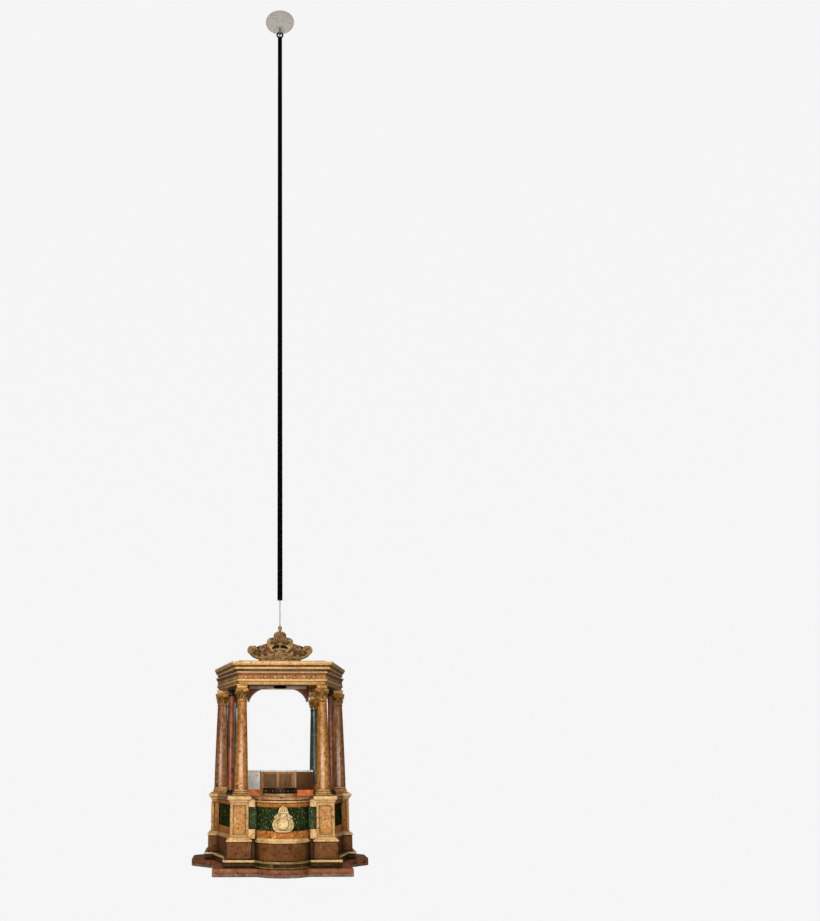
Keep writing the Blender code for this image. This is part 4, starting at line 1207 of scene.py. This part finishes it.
def panelling(name, span, y, out, columns, rails, body="temple"):
    """Stiles, rails and raised fields on the face at y. rails holds the rails' lower edges."""
    stile, rail, margin = 4.2, 4.6, 1.4
    left, right = span
    pitch = (right - left - stile) / columns
    stiles = [left + pitch * i for i in range(columns + 1)]
    framing, fields = bmesh.new(), bmesh.new()
    for x in stiles:
        block(framing, (x, y, rails[0]), (x + stile, y + 0.8 * out, rails[-1] + rail), 0.25)
    for z in rails:
        block(framing, (left, y, z), (right, y + 0.7 * out, z + rail), 0.25)
    for x in stiles[:-1]:
        for low, high in zip(rails, rails[1:]):
            corner = (x + stile + margin, y, low + rail + margin)
            block(fields, corner, (x + pitch - margin, y + 0.55 * out, high - margin), 0.4)
    finish_piece(f"{name}_frame", framing, WALNUT, body)
    finish_piece(f"{name}_fields", fields, TEAK, body)


# Oil lamp and smoke bell


def build_lamp():
    axis = Vector((0, 0, UNDERSIDE))
    build_bowl(axis)

    low, high = heights("glass_cup")
    outside = raised(low, [(11, 0), (13, 0.4), (15.4, 2.4), (18.2, 6.2), (20.4, 11), (22.2, 16), (23.6, 21)])
    rim = raised(high, [(24, -0.5), (23.4, 0), (22.6, -0.4), (21.2, -5)])
    inside = raised(low, [(19.2, 12), (17.6, 9.2), (14.2, 5), (11.6, 3)])
    glass = [*outside, *rim, *inside]
    finish_piece("glass_cup_blown", turned(glass), RUBY, "glass", "glass_cup", axis)
    keep(["wick_holder"], BRASS)
    wick = raised(heights("wick_holder")[1], [(0.8, -6), (0.85, 0), (0.6, 2.6), (0.25, 3.4)])
    finish_piece("wick", turned(wick, 10), COTTON, body="glass", origin=axis)

    low, high = heights("smoke_bell")
    outside = raised(high, [
        (2.2, 0), (3.4, 0), (5, -0.6), (6.6, -1.8), (8.6, -3.4), (10.6, -5.4), (12.4, -7.8), (13.6, -9.6),
    ])
    inside = raised(low, [
        (14, 0.6), (13.6, 0), (13.1, 0.3), (11.6, 2.6), (9.2, 5), (6.6, 7.8), (4.6, 9.3), (2.2, 9.6),
    ])
    bm = turned([*outside, *inside], 40, closed=True)
    finish_piece("smoke_bell_spun", bm, BRONZE, "bell", "smoke_bell", axis)
    keep(["bell_hook"], BRASS)


def build_bowl(axis):
    """The lamp's turned foot and bowl, its black rim, and studs round rim, knop and foot."""
    low, high = heights("lamp_bowl")
    rim = high - 9.4
    body = raised(low, [
        (22.5, 0), (24, 0.8), (24, 3), (22.6, 4.2), (18, 5), (13, 7.6), (10, 9.6), (7.2, 13), (5.6, 20),
        (5.2, 26), (6.4, 28), (5.6, 30), (6.2, 44), (7.6, 49), (10.2, 54), (11, 58), (10.2, 62), (7, 66),
        (5.5, 69), (7.4, 71), (7.4, 73), (6.2, 75), (7, 77), (12, 78.4), (20, 81.8), (26, 86.4), (30, 91.6),
    ])
    body += [(32.4, rim - 2), (32.6, rim), (28, rim)]
    band = raised(rim, [(27, 0.05), (32.4, 0.05), (33.5, 0.8), (33.5, 2), (32.8, 2.6)])
    band += raised(high, [
        (32.8, -2.4), (33.5, -1.8), (33.5, -0.6), (32.9, 0), (31.4, 0), (31, -0.6), (30.5, -7), (27, -14),
        (22, -21.4), (14, -23.7),
    ])
    for part, profile, material in (("body", body, AMBER), ("rim", band, BRONZE)):
        bm = turned(profile, 56)
        finish_piece(f"lamp_bowl_{part}", bm, material, node="lamp_bowl", origin=axis)
    bm = bmesh.new()
    for i in range(28):
        ball(bm, (*polar(33.0, TURN * i / 28), high - 4.6), 1.5 if i % 2 else 1.0, 1, 10)
    for level, radius in ((low + 58, 10.6), (low + 2, 23.6)):
        for i in range(24):
            ball(bm, (*polar(radius, TURN * i / 24), level), 0.9, 1, 8)
    finish_piece("lamp_bowl_studs", bm, GILT, origin=axis)


# Scene


def build_stage():
    """A pale floor that curves up into walls and a ceiling, so that it meets the background everywhere."""
    floor, reach, rise = UNDERSIDE - 0.55, 5.0, 8.0
    cove, dome, eye = 1.8, 3.0, 0.02
    angles = linear(0, math.pi / 2, 12)[1:]
    profile = [(eye, floor), (reach - cove, floor)]
    profile += [(reach - cove * (1 - math.sin(a)), floor + cove * (1 - math.cos(a))) for a in angles]
    profile += [(reach * math.cos(a) + eye, floor + rise + dome * math.sin(a)) for a in angles]
    bm = turned(profile, 96)
    mesh = bpy.data.meshes.new("stage")
    bm.to_mesh(mesh)
    bm.free()
    mesh.shade_smooth()
    stage = bpy.data.objects.new("stage", mesh)
    bpy.context.scene.collection.objects.link(stage)
    stage.visible_diffuse = False
    stage.visible_glossy = False
    stage.visible_shadow = False
    shader = Shader("stage_paper", Base_Color=(0.06, 0.06, 0.06), Roughness=1.0, Specular_IOR_Level=0.0)
    shader.set(shader.surface, {"Emission_Color": (1, 1, 1), "Emission_Strength": STAGE_GLOW})
    mesh.materials.append(shader.material)


def area_light(name, spot, aim, size, power, matt=True, shiny=True):
    """matt and shiny say which reflections the light is seen in."""
    light = bpy.data.lights.new(name, "AREA")
    light.shape = "RECTANGLE"
    light.size, light.size_y = size
    light.energy = power
    light.color = WARM
    lamp = bpy.data.objects.new(name, light)
    bpy.context.scene.collection.objects.link(lamp)
    lamp.location = spot
    lamp.rotation_euler = (Vector(aim) - Vector(spot)).to_track_quat("-Z", "Y").to_euler()
    lamp.visible_camera = False
    lamp.visible_diffuse = matt
    lamp.visible_glossy = shiny


def build_lights():
    aim = Vector((0, 0, UNDERSIDE + 0.2))
    area_light("key", aim + Vector((-0.2, -1.8, 0.5)), aim, (0.6, 0.6), 21, shiny=False)
    area_light("low_front", aim + Vector((-0.2, -1.45, -0.06)), aim, (0.30, 0.26), 6, shiny=False)
    area_light("streak", aim + Vector((-0.2, -1.45, 0.03)), aim, (1.8, 0.12), 11, matt=False)
    area_light("fill", aim + Vector((1.1, -1.5, 0.35)), aim, (0.9, 1.2), 1.5)
    for side in (-1, 1):
        area_light(f"back_{side}", aim + Vector((1.4 * side, 1.9, 0.7)), aim, (1.0, 1.0), 20, shiny=False)
    area_light("top", aim + Vector((0.2, 0.3, 2.6)), aim, (1.5, 1.5), 5)
    inside = PLAN + Vector((0, -20, 300)) * MM
    area_light("inside", inside, PLAN + Vector((0, 110, 125)) * MM, (0.08, 0.06), 0.22)
    world = bpy.data.worlds.new("studio")
    world.use_nodes = True
    background = world.node_tree.nodes["Background"]
    background.inputs["Color"].default_value = (*WARM, 1)
    background.inputs["Strength"].default_value = 0.13
    bpy.context.scene.world = world


def build_camera():
    """Nearly level with the temple, 1.7 m in front of its middle, and tilted up to take in the rod."""
    distance = 1.7 - PLAN_Y
    eye_height = UNDERSIDE + 0.186
    side_step = math.radians(-1.6)
    tilt = math.radians(16.03)
    camera = bpy.data.cameras.new("camera")
    camera.lens = 33.2
    camera.sensor_width = 36
    camera.shift_x = 0.1412
    camera.shift_y = 0.06
    stand = bpy.data.objects.new("camera", camera)
    bpy.context.scene.collection.objects.link(stand)
    stand.location = (distance * math.sin(side_step), -distance * math.cos(side_step), eye_height)
    stand.rotation_euler = (math.pi / 2 + tilt, 0, side_step)
    bpy.context.scene.camera = stand


def main():
    build_steps()
    for name in CORNERS:
        build_pedestal(f"pedestal_{name}", plan(f"pedestal_{name}"), 0, CREAM, SPECKLED)
    for side in ("left", "right"):
        node = f"pedestal_side_{side}"
        low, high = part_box(node)
        extra = ((high.y - low.y) - (high.x - low.x)) / 2 / MM
        build_pedestal(node, plan(node), extra, SPECKLED, ORANGE)
    build_walls()
    build_bow()
    build_cartouche()
    build_columns()
    build_colonnettes()
    build_entablature()
    build_cornice()
    build_arch()
    keep(["ceiling_board"], WALNUT)
    build_roof()
    build_crest()
    build_rear()
    build_lamp()
    keep(["suspension_rod"], BLACK)
    keep(["ceiling_plate"], WHITE)
    keep(["hanging_ring", "swivel_pin"], STEEL)
    keep(["swivel_bush"], BRASS)
    build_stage()
    build_lights()
    build_camera()
    scene = bpy.context.scene
    scene.view_settings.view_transform = "Standard"
    scene.view_settings.look = "None"


main()
